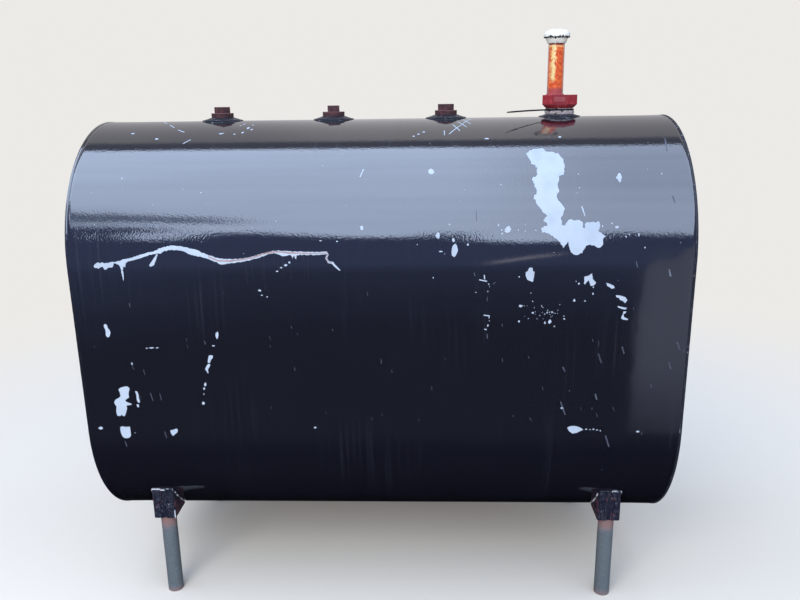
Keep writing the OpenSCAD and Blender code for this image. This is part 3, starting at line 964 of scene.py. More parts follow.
UPSIDE_DOWN = Matrix.Translation((0, 0, CROWN_Z + KEEL_Z)) @ Matrix.Diagonal((1, 1, -1, 1))
bm = threaded_flange(middle_of("outlet_spud").x)
bmesh.ops.transform(bm, matrix=UPSIDE_DOWN, verts=bm.verts)
new_piece(bm, "outlet_flange", brushed_over, ["outlet_spud"])

# %% [markdown]
# ## Iron plugs
#
# Three flanges are closed by cast iron plugs, and the outlet by a fourth. A plug has a round
# threaded body, cored from below to save iron, and a square head for the wrench. The bare
# castings have rusted to a dull purple brown, paler in rubbed grains, and every face that
# looks up carries a painted highlight in paler rust. The body is turned, with a few rings of
# the thread still showing over the hub. The head is a cube whose edges are bevelled as a
# foundry pattern is, since sharp corners don't fill.

# %% Rusty cast iron
RUST_DARK = paint("2a1818")
RUST_MID = paint("512b2b")
PALE_RUST_AND_HIGHLIGHT = paint("85585a")
RUST_GRAIN = 2.2 * MM
RUST_CLOUD = 14 * MM
CASTING_PIT = 0.35 * MM


def rusty_cast_iron():
    """Cast in sand and rusted: matt, mottled and pitted, with a painted highlight on faces that look up.
    """
    finish, tree = new_finish("rusty_cast_iron")
    place = add(tree, "TexCoord", output="Object")
    clouds = add(tree, "TexNoise", {"Vector": place, "Scale": 1 / RUST_CLOUD, "Detail": 4.0})
    grains = add(tree, "TexNoise", {"Vector": place, "Scale": 1 / RUST_GRAIN, "Detail": 4.0})
    cloudy = add(tree, "MapRange", {0: clouds, 1: 0.35, 2: 0.65}, **SOFT)
    grainy = add(tree, "MapRange", {0: grains, 1: 0.52, 2: 0.72}, **SOFT)
    colour = add(tree, "Mix", {0: cloudy, 6: RUST_DARK, 7: RUST_MID}, **COLOURS)
    facing = add(tree, "SeparateXYZ", {0: add(tree, "NewGeometry", output="Normal")}, output="Z")
    # Painted highlight: faces that look up are mixed towards paler rust.
    lit_from_above = add(tree, "MapRange", {0: facing, 1: 0.3, 2: 0.95, 4: 0.7}, **SOFT)
    rubbed_and_lit = add(tree, "Math", {0: grainy, 1: 0.3}, operation="MULTIPLY")
    rubbed_and_lit = add(tree, "Math", {0: rubbed_and_lit, 1: lit_from_above}, operation="MAXIMUM")
    colour = add(tree, "Mix", {0: rubbed_and_lit, 6: colour, 7: PALE_RUST_AND_HIGHLIGHT}, **COLOURS)
    pits = add(tree, "Bump", {"Height": grains, "Distance": CASTING_PIT})
    pits = add(tree, "Bump", {"Height": clouds, "Distance": 2 * CASTING_PIT, "Normal": pits})
    look = {"Base Color": colour, "Roughness": 0.72, "Normal": pits, "IOR": 1.6}
    add(tree, "OutputMaterial", {0: add(tree, "BsdfPrincipled", look)})
    return finish


plug_iron = rusty_cast_iron()
print("finish of the plugs:", plug_iron.name)

# %% Plugs
PLUG_R = 30.0
PLUG_TOP = 20.0
CORE_R = 21.0
CORE_CAP = 9.0
HEAD_WIDTH = 32.0
HEAD_HEIGHT = 16.5
THREAD_PITCH = 2.2
THREAD_DEPTH = 0.5
THREADS_SHOWN = 3
CORNER_BEVEL = 2.4
TOP_BEVEL = 1.3
BEVEL = {"affect": "EDGES", "offset_type": "OFFSET", "profile": 0.5, "material": -1}
PLUG_TURNS = {"plug_1": 46, "plug_2": 7, "plug_3": 43, "outlet_plug": 20}


def square_plug(x, turn):
    """Turned and cored body with a bevelled square head on it."""
    bm = bmesh.new()
    outline = [(0, PLUG_TOP - CORE_CAP), (CORE_R - 3, PLUG_TOP - CORE_CAP)]
    outline += arc(CORE_R - 3, PLUG_TOP - CORE_CAP - 3, 3, 90, 0, 3)
    outline += [(CORE_R, -HUB_DROP), (PLUG_R - 1, -HUB_DROP), (PLUG_R, -HUB_DROP + 1)]
    outline += [(PLUG_R, HUB_RISE - 1)]
    for i in range(THREADS_SHOWN):
        foot = HUB_RISE + 0.4 + i * THREAD_PITCH
        outline += [(PLUG_R - THREAD_DEPTH, foot), (PLUG_R, foot + THREAD_PITCH / 2)]
    outline += [(PLUG_R - 0.3, HUB_RISE + 3.2 * THREAD_PITCH), (PLUG_R, PLUG_TOP - 1.6)]
    outline += arc(PLUG_R - 1.4, PLUG_TOP - 1.4, 1.4, 10, 90, 3) + [(0, PLUG_TOP)]
    turn_outline(bm, Vector((x, 0, CROWN_Z)), outline, closed=False, steps=72)
    size = Matrix.Diagonal((HEAD_WIDTH * MM, HEAD_WIDTH * MM, (HEAD_HEIGHT + 1) * MM, 1))
    head_z = CROWN_Z + (PLUG_TOP + HEAD_HEIGHT / 2 - 0.5) * MM
    head = Matrix.Translation((x, 0, head_z)) @ Matrix.Rotation(radians(turn), 4, "Z") @ size
    cube = bmesh.ops.create_cube(bm, size=1.0, matrix=head)["verts"]
    edges = {e for v in cube for e in v.link_edges}
    upright = [e for e in edges if abs(e.verts[0].co.z - e.verts[1].co.z) > TOUCHING]
    made = bmesh.ops.bevel(bm, geom=upright, offset=CORNER_BEVEL * MM, segments=4, **BEVEL)
    top_z = head_z + (HEAD_HEIGHT + 1) / 2 * MM
    near = {e for f in made["faces"] for v in f.verts for e in v.link_edges}
    rim = [e for e in near if all(abs(v.co.z - top_z) < TOUCHING for v in e.verts)]
    rim = [e for e in rim if any(abs(f.normal.z) < 0.5 for f in e.link_faces)]
    bmesh.ops.bevel(bm, geom=rim, offset=TOP_BEVEL * MM, segments=3, **BEVEL)
    return bm


for name, turn in PLUG_TURNS.items():
    bm = square_plug(middle_of(name).x, turn)
    if name == "outlet_plug":
        bmesh.ops.transform(bm, matrix=UPSIDE_DOWN, verts=bm.verts)
    new_piece(bm, "square_head_" + name, plug_iron, [name])

# %% [markdown]
# ## Float gauge: body
#
# The gauge screws into the fourth flange. Its body is an octagonal moulding, chamfered
# below, with a bare raised panel on the front flat and a ring that holds the clear vial.
# Sun has bleached the crimson to pink in patches. Faces that look up carry a painted
# highlight in that pink, the front flat carries painted shade in deep crimson, and the panel
# is a little paler than the flat round it. The octagon starts as an eight-sided circle that
# is extruded up in two steps. It is turned by ten degrees, as the gauge happened to stand
# when its thread was tight, so the finish asks how far a point lies out in that turned
# direction to find the flat and the panel.

# %% Sun-bleached crimson moulding
GAUGE = Vector((middle_of("spud_4").x, 0, CROWN_Z))
FLAT_AWAY = 45.6
OCTAGON_TURN = Matrix.Rotation(radians(-10), 4, "Z")
FRONT_FLAT_SHADE = 0.6
PANEL_PALE = 0.15
CRIMSON = paint("a62c33")
CRIMSON_DEEP = paint("6e1a20")
CRIMSON_FADED_AND_LIT = paint("cc8a88")
FADE_WAVE = 11 * MM
MOULD_GRAIN = 1.5 * MM


def lit_and_bleached_moulding():
    """Injection moulded, bleached by sun in patches; painted highlight on top, painted shade on the
    front flat.
    """
    finish, tree = new_finish("crimson_moulding_bleached_and_lit")
    place = add(tree, "TexCoord", output="Object")
    clouds = add(tree, "TexNoise", {"Vector": place, "Scale": 1 / FADE_WAVE, "Detail": 5.0})
    cloudy = add(tree, "MapRange", {0: clouds, 1: 0.35, 2: 0.7}, **SOFT)
    cloudy = add(tree, "Math", {0: cloudy, 1: 0.4, 2: 0.6}, operation="MULTIPLY_ADD")
    colour = add(tree, "Mix", {0: cloudy, 6: CRIMSON_DEEP, 7: CRIMSON}, **COLOURS)
    facing = add(tree, "SeparateXYZ", {0: add(tree, "NewGeometry", output="Normal")}, output="Z")
    # Painted highlight: faces that look up are mixed towards pale pink, together with the sun-bleached
    # patches.
    lit_from_above = add(tree, "MapRange", {0: facing, 1: 0.25, 2: 0.9, 4: 0.85}, **SOFT)
    worn = add(tree, "MapRange", {0: clouds, 1: 0.5, 2: 0.72, 4: 0.18}, **SOFT)
    faded = add(tree, "Math", {0: lit_from_above, 1: worn}, operation="MAXIMUM")
    colour = add(tree, "Mix", {0: faded, 6: colour, 7: CRIMSON_FADED_AND_LIT}, **COLOURS)
    front = OCTAGON_TURN @ Vector((0, -1, 0))
    away = add(tree, "VectorMath", {0: place, 1: front}, output="Value", operation="DOT_PRODUCT")
    flat_at = GAUGE.dot(front) + FLAT_AWAY * MM
    # Painted shade: the front flat, out in the turned direction, is mixed towards deep crimson.
    flat = {0: away, 1: flat_at - 1.0 * MM, 2: flat_at - 0.6 * MM, 4: FRONT_FLAT_SHADE}
    shaded_front_flat = add(tree, "MapRange", flat)
    panel = {0: away, 1: flat_at + 0.3 * MM, 2: flat_at + 0.6 * MM, 4: PANEL_PALE}
    on_panel = add(tree, "MapRange", panel)
    colour = add(tree, "Mix", {0: shaded_front_flat, 6: colour, 7: CRIMSON_DEEP}, **COLOURS)
    colour = add(tree, "Mix", {0: on_panel, 6: colour, 7: CRIMSON_FADED_AND_LIT}, **COLOURS)
    grain = add(tree, "TexNoise", {"Vector": place, "Scale": 1 / MOULD_GRAIN, "Detail": 3.0})
    dull = add(tree, "Bump", {"Height": grain, "Distance": 0.12 * MM})
    look = {"Base Color": colour, "Roughness": 0.5, "Normal": dull}
    add(tree, "OutputMaterial", {0: add(tree, "BsdfPrincipled", look)})
    return finish


gauge_red = lit_and_bleached_moulding()
print("finish of the gauge body:", gauge_red.name)

# %% Gauge body
VIAL = Vector((middle_of("gauge_vial").x, 0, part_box("gauge_vial")[0].z))
SEAL_HEIGHT = 13.6
BODY_FOOT = HUB_RISE + SEAL_HEIGHT
CHAMFER_HEIGHT = 9.5
UPRIGHT_HEIGHT = 25.0
OCTAGON_FOOT_R = 38.8
OCTAGON_R = FLAT_AWAY / cos(pi / 8)
PANEL = Vector((30, 12, 13))
PANEL_PROUD = 1.0
RING_OUT = 24.0
RING_IN = 21.8
RING_HEIGHT = 2.2


def gauge_moulding():
    """Octagon, raised panel, threaded stem and the ring round the vial's foot."""
    bm = bmesh.new()
    facing = Matrix.Translation(GAUGE) @ OCTAGON_TURN
    foot = facing @ Matrix.Translation((0, 0, BODY_FOOT * MM)) @ Matrix.Rotation(pi / 8, 4, "Z")
    octagon = bmesh.ops.create_circle(
        bm, cap_ends=True, segments=8, radius=OCTAGON_FOOT_R * MM, matrix=foot
    )["verts"]
    face = octagon[0].link_faces[0]
    for rise, grow in ((CHAMFER_HEIGHT, OCTAGON_R / OCTAGON_FOOT_R), (UPRIGHT_HEIGHT, 1.0)):
        made = bmesh.ops.extrude_face_region(bm, geom=[face])["geom"]
        face = [g for g in made if isinstance(g, bmesh.types.BMFace)][0]
        bmesh.ops.translate(bm, verts=face.verts[:], vec=(0, 0, rise * MM))
        about = Matrix.Translation(-GAUGE)
        bmesh.ops.scale(bm, vec=(grow, grow, 1), space=about, verts=face.verts[:])
    panel_y = FLAT_AWAY + PANEL_PROUD - PANEL.y / 2
    panel_z = BODY_FOOT + CHAMFER_HEIGHT + UPRIGHT_HEIGHT / 2
    panel_at = facing @ Matrix.Translation(Vector((0, -panel_y, panel_z)) * MM)
    bmesh.ops.create_cube(bm, size=1.0, matrix=panel_at @ Matrix.Diagonal((*(PANEL * MM), 1)))
    stem = [(0, -HUB_DROP), (29, -HUB_DROP), (PLUG_R, -HUB_DROP + 1), (PLUG_R, BODY_FOOT + 0.5)]
    turn_outline(bm, GAUGE, stem + [(0, BODY_FOOT + 0.5)], closed=False, steps=48)
    ring = [(RING_IN, -0.5), (RING_IN, RING_HEIGHT), (RING_OUT, RING_HEIGHT), (RING_OUT, -0.5)]
    turn_outline(bm, VIAL, ring, steps=48)
    return bm


octagon = new_piece(gauge_moulding(), "octagon_gauge_base", gauge_red, ["gauge_body"])
round_off(octagon, 1.3 * MM, 3)

# %% [markdown]
# ## Float gauge: compound
#
# Between the flange and the gauge body sits a ring of jointing compound that was pressed out
# when the gauge was screwed down, and has dried hard, pale and lumpy, with random dark
# patches. A turned ring gives the shape, and noise at two scales pushes its surface in and
# out. Its foot reaches out over the flange's hub, where the compound was squeezed to.

# %% Dried jointing compound
COMPOUND_LIGHT = paint("c4bab8")
COMPOUND_BROWN = paint("907e7a")
COMPOUND_DARK_PATCH = paint("1e1d22")
LUMP = 9 * MM
CRUMB = 3 * MM


def dried_compound():
    """Putty squeezed out by hand, dried, brownish and dark in random patches."""
    finish, tree = new_finish("dried_jointing_compound")
    place = add(tree, "TexCoord", output="Object")
    lumps = add(tree, "TexNoise", {"Vector": place, "Scale": 1 / LUMP, "Detail": 4.0})
    crumbs = add(tree, "TexNoise", {"Vector": place, "Scale": 1 / CRUMB, "Detail": 3.0})
    brownish = add(tree, "MapRange", {0: crumbs, 1: 0.45, 2: 0.62}, **SOFT)
    dark = add(tree, "MapRange", {0: lumps, 1: 0.43, 2: 0.36}, **SOFT)
    colour = add(tree, "Mix", {0: brownish, 6: COMPOUND_LIGHT, 7: COMPOUND_BROWN}, **COLOURS)
    colour = add(tree, "Mix", {0: dark, 6: colour, 7: COMPOUND_DARK_PATCH}, **COLOURS)
    rough = add(tree, "Bump", {"Height": crumbs, "Distance": 0.8 * MM})
    look = {"Base Color": colour, "Roughness": 0.55, "Normal": rough}
    add(tree, "OutputMaterial", {0: add(tree, "BsdfPrincipled", look)})
    return finish


compound = dried_compound()
print("finish of the compound:", compound.name)

# %% Ring of compound
SEAL_R = 35.0
SEAL_BULGE = 4.0


def compound_ring():
    """A turned ring, pushed in and out into lumps."""
    bm = bmesh.new()
    foot, top = HUB_RISE - 1.8, BODY_FOOT + 0.6
    outline = [(PLUG_R + 0.3, HUB_RISE + 0.1), (HUB_R + 0.7, HUB_RISE + 0.1), (HUB_R + 4.5, foot)]
    for i in range(1, 9):
        bulge = SEAL_BULGE * max(0.0, sin(pi * i / 6)) + 0.6 * (-1) ** i
        outline.append((SEAL_R + bulge, foot + (top - foot) * i / 9))
    outline += [(SEAL_R - 1, top), (PLUG_R + 0.3, top)]
    turn_outline(bm, GAUGE, outline, steps=120)
    for vert in bm.verts:
        out = Vector((vert.co.x - GAUGE.x, vert.co.y, 0))
        if out.length > (SEAL_R - 2) * MM:
            lumps = noise.noise(vert.co * 110) * 2.4 + noise.noise(vert.co * 300) * 1.1
            vert.co += out.normalized() * lumps * MM
    return bm


new_piece(compound_ring(), "compound_ring", compound, ["gauge_seal"])

# %% [markdown]
# ## Float gauge: vial
#
# The vial is a clear plastic tube. Old oil has left a mottled orange film inside it, with a
# pale ring near the top and dark above it. A pale upright streak on one side of the film is a
# painted highlight. The float's indicator lies at the bottom, as on an empty tank. The tube
# and the film are two pieces here: a clear tube with a real wall, and the film as a thin
# lining just inside it, so that the wall shows at the edges as it does on the real one.
# Daylight shines through the real film and makes it glow. A film that lets light through
# would be slow and noisy to render behind a clear wall, so a little emission in the film's
# own colour stands for it.

# %% Clear plastic and the stain inside it
ACRYLIC = paint("f7efe6")
STAIN_ORANGE = paint("fb8032")
STAIN_RED = paint("d8481c")
CREAM_STAIN_AND_HIGHLIGHT = paint("fff0b4")
STAIN_FOOT = paint("b8525a")
STAIN_DARK = paint("6a2c22")
PALE_RING_Z = 123.5 * MM
STAIN_MOTTLE = 7 * MM
HIGHLIGHT_AT = -0.48
FILM_R = 19.9
SHINING_THROUGH = 0.34


def clear_plastic():
    """Cast acrylic: clear and glossy."""
    finish, tree = new_finish("clear_acrylic")
    look = {"Base Color": ACRYLIC, "Roughness": 0.06, "IOR": 1.49, "Transmission Weight": 1.0}
    add(tree, "OutputMaterial", {0: add(tree, "BsdfPrincipled", look)})
    return finish


def oil_stain():
    """Film of old oil on plastic: mottled orange, with a painted highlight in one upright streak."""
    finish, tree = new_finish("old_oil_stain")
    place = add(tree, "TexCoord", output="Object")
    local = add(tree, "Mapping", {"Vector": place, "Location": -VIAL})
    mottle = {"Vector": local, "Scale": 1 / STAIN_MOTTLE, "Detail": 6.0, "Roughness": 0.65}
    mottle = add(tree, "TexNoise", mottle)
    reddish = add(tree, "MapRange", {0: mottle, 1: 0.4, 2: 0.62}, **SOFT)
    colour = add(tree, "Mix", {0: reddish, 6: STAIN_ORANGE, 7: STAIN_RED}, **COLOURS)
    along = add(tree, "SeparateXYZ", {0: local}, output="X")
    up = along.node.outputs["Z"]
    # Painted highlight: a pale upright streak on one side of the tube, mixed in cream.
    off_highlight = add(tree, "Math", {0: along, 1: -HIGHLIGHT_AT * FILM_R * MM}, operation="ADD")
    off_highlight = add(tree, "Math", {0: off_highlight}, operation="ABSOLUTE")
    wander = add(tree, "Math", {0: mottle, 1: 24 * MM, 2: -12 * MM}, operation="MULTIPLY_ADD")
    off_highlight = add(tree, "Math", {0: off_highlight, 1: wander}, operation="ADD")
    painted_highlight = add(tree, "MapRange", {0: off_highlight, 1: 7.5 * MM, 2: 2 * MM}, **SOFT)
    high = add(tree, "MapRange", {0: up, 1: 28 * MM, 2: 45 * MM}, **SOFT)
    painted_highlight = add(tree, "Math", {0: painted_highlight, 1: high}, operation="MULTIPLY")
    colour = add(tree, "Mix", {0: painted_highlight, 6: colour, 7: CREAM_STAIN_AND_HIGHLIGHT}, **COLOURS)
    off_ring = add(tree, "Math", {0: up, 1: PALE_RING_Z}, operation="SUBTRACT")
    off_ring = add(tree, "Math", {0: off_ring}, operation="ABSOLUTE")
    in_ring = add(tree, "MapRange", {0: off_ring, 1: 3 * MM, 2: 1 * MM, 4: 0.6}, **SOFT)
    colour = add(tree, "Mix", {0: in_ring, 6: colour, 7: CREAM_STAIN_AND_HIGHLIGHT}, **COLOURS)
    at_top = add(tree, "MapRange", {0: up, 1: PALE_RING_Z + 3 * MM, 2: PALE_RING_Z + 5 * MM}, **SOFT)
    colour = add(tree, "Mix", {0: at_top, 6: colour, 7: STAIN_DARK}, **COLOURS)
    low = add(tree, "MapRange", {0: up, 1: 22 * MM, 2: 12 * MM}, **SOFT)
    colour = add(tree, "Mix", {0: low, 6: colour, 7: STAIN_FOOT}, **COLOURS)
    look = {"Base Color": colour, "Roughness": 0.4}
    look.update({"Emission Color": colour, "Emission Strength": SHINING_THROUGH})
    add(tree, "OutputMaterial", {0: add(tree, "BsdfPrincipled", look)})
    return finish


acrylic = clear_plastic()
stain = oil_stain()
print("finishes of the vial:", acrylic.name, "and", stain.name)

# %% Vial, film and indicator
VIAL_R = 21.5
VIAL_WALL = 1.4
VIAL_SHOWN = 131.5
COLLAR_HEIGHT = 16.0
LID_SEAT = 2.4
FLOAT_TOP = 16.0

bm = bmesh.new()
vial_top = VIAL_SHOWN + COLLAR_HEIGHT - LID_SEAT - 0.3
bore = VIAL_R - VIAL_WALL
turn_outline(bm, VIAL, [(bore, 0.3), (bore, vial_top), (VIAL_R, vial_top), (VIAL_R, 0.3)])
sight_tube = new_piece(bm, "sight_tube", acrylic, ["gauge_vial"])
round_off(sight_tube, 0.4 * MM)

bm = bmesh.new()
film = [(FILM_R, 0.5), (FILM_R, vial_top - 1), (FILM_R - 0.3, vial_top - 1), (FILM_R - 0.3, 0.5)]
turn_outline(bm, VIAL, film)
new_piece(bm, "oil_film", stain)

bm = bmesh.new()
disc = [(0, 0.3), (17, 0.3), (18, 1.3), (18, FLOAT_TOP - 1), (17, FLOAT_TOP), (0, FLOAT_TOP)]
turn_outline(bm, VIAL, disc, closed=False, steps=48)
new_piece(bm, "float_indicator", gauge_red, ["gauge_disc"])

# %% [markdown]
# ## Float gauge: collar and lid
#
# A tapered white collar sits on top of the vial, and a domed lid laps over it. The lid has
# settled a little, and the dark line under its edge is partly dirt in the joint and partly
# painted shade. Both are turned from outlines with rounded corners. White plastic that has
# stood outdoors is never clean: it greys in patches of dirt, and faces that look down carry
# painted shade in the same grey.

# %% White moulding
CAP_WHITE = paint("efece0")
CAP_GREY = paint("a9aaa6")
JOINT_DIRT_AND_SHADE = paint("252a2a")
JOINT_Z = VIAL.z + 146.4 * MM
JOINT_WANDER = 5 * MM
DIRT_WAVE = 12 * MM


def weathered_white():
    """Moulded white plastic, greyed in patches by dirt, with painted shade below and in the joint."""
    finish, tree = new_finish("weathered_white_moulding")
    place = add(tree, "TexCoord", output="Object")
    clouds = add(tree, "TexNoise", {"Vector": place, "Scale": 1 / DIRT_WAVE, "Detail": 5.0})
    dirty = add(tree, "MapRange", {0: clouds, 1: 0.5, 2: 0.75, 4: 0.7}, **SOFT)
    facing = add(tree, "SeparateXYZ", {0: add(tree, "NewGeometry", output="Normal")}, output="Z")
    # Painted shade: faces that look down are mixed towards grey.
    shaded_below = add(tree, "MapRange", {0: facing, 1: 0.2, 2: -0.3, 4: 0.15}, **SOFT)
    grey = add(tree, "Math", {0: dirty, 1: shaded_below}, operation="MAXIMUM")
    colour = add(tree, "Mix", {0: grey, 6: CAP_WHITE, 7: CAP_GREY}, **COLOURS)
    height = add(tree, "SeparateXYZ", {0: place}, output="Z")
    # The dark line at the joint is partly dirt and partly painted shade under the lid's edge.
    off_joint = add(tree, "Math", {0: height, 1: JOINT_Z}, operation="SUBTRACT")
    off_joint = add(tree, "Math", {0: off_joint}, operation="ABSOLUTE")
    uneven = add(tree, "TexNoise", {"Vector": place, "Scale": 1 / JOINT_WANDER, "Detail": 3.0})
    off_joint = add(tree, "Math", {0: uneven, 1: 15 * MM, 2: off_joint}, operation="MULTIPLY_ADD")
    in_joint = add(tree, "MapRange", {0: off_joint, 1: 10.2 * MM, 2: 9.2 * MM}, **SOFT)
    colour = add(tree, "Mix", {0: in_joint, 6: colour, 7: JOINT_DIRT_AND_SHADE}, **COLOURS)
    fine = add(tree, "TexNoise", {"Vector": place, "Scale": 1 / MOULD_GRAIN, "Detail": 2.0})
    dull = add(tree, "Bump", {"Height": fine, "Distance": 0.08 * MM})
    look = {"Base Color": colour, "Roughness": 0.38, "Normal": dull}
    add(tree, "OutputMaterial", {0: add(tree, "BsdfPrincipled", look)})
    return finish


white = weathered_white()
print("finish of the collar and lid:", white.name)

# %% Collar and lid
COLLAR_FOOT_R = 24.0
COLLAR_TOP_R = 30.5
LID_R = 34.3
LID_EDGE = 13.0
LID_DOME = 9.6
LID_LAP = 2.0

bm = bmesh.new()
foot, top = VIAL_SHOWN, VIAL_SHOWN + COLLAR_HEIGHT
wall = VIAL_R + 0.3
outline = [(wall, foot + 0.4), (COLLAR_FOOT_R - 0.8, foot), (COLLAR_FOOT_R, foot + 0.8)]
outline += [(COLLAR_TOP_R - 1.2, top - 3), (COLLAR_TOP_R - 0.2, top), (0, top)]
outline += [(0, top - LID_SEAT + 0.1), (wall, top - LID_SEAT + 0.1)]
turn_outline(bm, VIAL, outline)
new_piece(bm, "vial_collar", white, ["gauge_collar"])

bm = bmesh.new()
foot = VIAL_SHOWN + COLLAR_HEIGHT - LID_LAP
inner = COLLAR_TOP_R + 0.3
outline = [(0, foot + LID_LAP + 0.2), (inner, foot + LID_LAP + 0.2), (inner, foot)]
outline += arc(LID_R - 1.2, foot + 1.2, 1.2, -90, 0, 3)
outline += arc(LID_R - 4.5, foot + LID_EDGE - 4.5, 4.5, 0, 55, 5)
rim_r, rim_h = outline[-1]
dome_h = foot + LID_EDGE + LID_DOME - rim_h
dome_turns = [radians(a) for a in range(8, 90, 8)]
outline += [(rim_r * cos(t), rim_h + dome_h * sin(t)) for t in dome_turns]
outline += [(0, rim_h + dome_h)]
turn_outline(bm, VIAL, outline, closed=False, steps=72)
new_piece(bm, "domed_lid", white, ["gauge_lid"])

# %% [markdown]
# ## Cable tie
#
# A black cable tie is pulled round the compound, and its uncut tail sticks out to the left.
# The strap is a turned band and the lock a small bevelled block. The tail is a thin bar that
# is drawn out in steps and narrows to its tip, with a slight droop and a slight bend.

# %% Black nylon
NYLON = paint("0d0d10")


def moulded_nylon():
    """Moulded nylon: dark, with a dull shine."""
    finish, tree = new_finish("moulded_black_nylon")
    place = add(tree, "TexCoord", output="Object")
    grain = add(tree, "TexNoise", {"Vector": place, "Scale": 1 / MOULD_GRAIN, "Detail": 2.0})
    dull = add(tree, "Bump", {"Height": grain, "Distance": 0.05 * MM})
    rough = add(tree, "MapRange", {0: grain, 1: 0.3, 2: 0.7, 3: 0.5, 4: 0.65})
    look = {"Base Color": NYLON, "Roughness": rough, "Normal": dull, "IOR": 1.53}
    add(tree, "OutputMaterial", {0: add(tree, "BsdfPrincipled", look)})
    return finish


nylon = moulded_nylon()
print("finish of the cable tie:", nylon.name)

# %% Strap, lock and tail
TIE_R = 37.2
TIE_THICK = 1.2
TIE_WIDTH = 4.0
TIE_TAIL = 150.0
TIE_TURN = radians(217)
TIE_DROOP = 3.5
TIE_BEND = 6.0
TAIL_STEPS = 24
TAIL_HALF_THICK = 0.9
TIP_SHARE = 0.1
TIP_NARROWING = 0.9
LOCK = Vector((5, 6.4, 5.2))


def tie_with_tail():
    """Strap, lock and uncut tail."""
    bm = bmesh.new()
    strap = GAUGE + Vector((0, 0, (BODY_FOOT - 4) * MM))
    half = TIE_WIDTH / 2
    band = [(TIE_R, -half), (TIE_R + TIE_THICK, -half), (TIE_R + TIE_THICK, half), (TIE_R, half)]
    turn_outline(bm, strap, band, steps=72)
    facing = Matrix.Translation(strap) @ Matrix.Rotation(TIE_TURN, 4, "Z")
    lock = Matrix.Translation(Vector((TIE_R + 3, 0, 0)) * MM) @ Matrix.Diagonal((*(LOCK * MM), 1))
    bmesh.ops.create_cube(bm, size=1.0, matrix=facing @ lock)
    root = Matrix.Translation(Vector((TIE_R + 5, 0, 0)) * MM) @ Matrix.Rotation(pi / 2, 4, "Y")
    section = Matrix.Diagonal((half * MM, TAIL_HALF_THICK * MM, 1, 1)) @ Matrix.Rotation(pi / 4, 4, "Z")
    ring = bmesh.ops.create_circle(
        bm, cap_ends=True, segments=4, radius=sqrt(2), matrix=facing @ root @ section
    )["verts"]
    face = ring[0].link_faces[0]
    for i in range(TAIL_STEPS):
        made = bmesh.ops.extrude_face_region(bm, geom=[face])["geom"]
        face = [g for g in made if isinstance(g, bmesh.types.BMFace)][0]
        share = (i + 1) / TAIL_STEPS
        step = Vector((TIE_TAIL, TIE_BEND * (0.5 - share), -2 * TIE_DROOP * share)) / TAIL_STEPS
        bmesh.ops.translate(bm, verts=face.verts[:], vec=facing.to_3x3() @ step * MM)
        narrow = TIP_NARROWING if share > 1 - TIP_SHARE else 1.0
        centre = Matrix.Translation(-face.calc_center_median())
        bmesh.ops.scale(bm, vec=(narrow, narrow, narrow), space=centre, verts=face.verts[:])
    return bm


tie = new_piece(tie_with_tail(), "cable_tie_with_tail", nylon, ["cable_tie"])
round_off(tie, 0.25 * MM)

# %% [markdown]
# ## Leg brackets
#
# Four brackets hold the legs. Each was folded from 4 mm plate: a face with a flat-floored
# groove pressed down its middle, two cheeks that run back under the tank, and a stop plate
# behind the leg. The tops are cut to the round of the tank and welded on. The outer outline
# of the plan is drawn once and extruded upwards, its top points are laid against the tank,
# and then the plate gets its thickness inwards. The enamel here was brushed on, is dusty and
# lets rust through, most of all on the cheeks. The finish looks at the direction of a face
# to find them. The weld is a bead of its own with a second finish, scraped bright in places.

# %% Worn enamel and scraped weld metal
BRACKET_PAINT = paint("141626")
BRACKET_DUST = paint("a2a7b6")
BRACKET_RUST = paint("573039")
SCRAPED = paint("c9ccd2")
WEAR = 16 * MM
GRIT = 2.5 * MM


def worn_enamel():
    """Brushed enamel, dusty and chipped, with rust coming through."""
    finish, tree = new_finish("worn_black_enamel")
    place = add(tree, "TexCoord", output="Object")
    wear = {"Vector": place, "Scale": 1 / WEAR, "Detail": 5.0, "Roughness": 0.65}
    wear = add(tree, "TexNoise", wear)
    grit = add(tree, "TexNoise", {"Vector": place, "Scale": 1 / GRIT, "Detail": 3.0})
    sideways = add(tree, "SeparateXYZ", {0: add(tree, "NewGeometry", output="Normal")}, output="X")
    sideways = add(tree, "Math", {0: sideways}, operation="ABSOLUTE")
    on_cheek = add(tree, "MapRange", {0: sideways, 1: 0.5, 2: 0.9, 4: 0.12}, **SOFT)
    worn = add(tree, "Math", {0: wear, 1: on_cheek}, operation="ADD")
    rusty = add(tree, "MapRange", {0: worn, 1: 0.6, 2: 0.68}, **SOFT)
    dusty = add(tree, "MapRange", {0: grit, 1: 0.6, 2: 0.7, 4: 0.75}, **SOFT)
    colour = add(tree, "Mix", {0: dusty, 6: BRACKET_PAINT, 7: BRACKET_DUST}, **COLOURS)
    colour = add(tree, "Mix", {0: rusty, 6: colour, 7: BRACKET_RUST}, **COLOURS)
    rough = add(tree, "MapRange", {0: rusty, 3: 0.32, 4: 0.8})
    pits = add(tree, "Bump", {"Height": wear, "Distance": 0.6 * MM})
    pits = add(tree, "Bump", {"Height": grit, "Distance": 0.2 * MM, "Normal": pits})
    look = {"Base Color": colour, "Roughness": rough, "Normal": pits, "IOR": 1.6}
    add(tree, "OutputMaterial", {0: add(tree, "BsdfPrincipled", look)})
    return finish


def scraped_weld():
    """Weld metal with the enamel scraped off in places down to bright metal."""
    finish, tree = new_finish("scraped_weld")
    place = add(tree, "TexCoord", output="Object")
    scrapes = add(tree, "TexNoise", {"Vector": place, "Scale": 1 / WEAR, "Detail": 4.0})
    bright = add(tree, "MapRange", {0: scrapes, 1: 0.44, 2: 0.54}, **SOFT)
    colour = add(tree, "Mix", {0: bright, 6: BRACKET_PAINT, 7: SCRAPED}, **COLOURS)
    look = {"Base Color": colour, "Roughness": 0.45}
    add(tree, "OutputMaterial", {0: add(tree, "BsdfPrincipled", look)})
    return finish


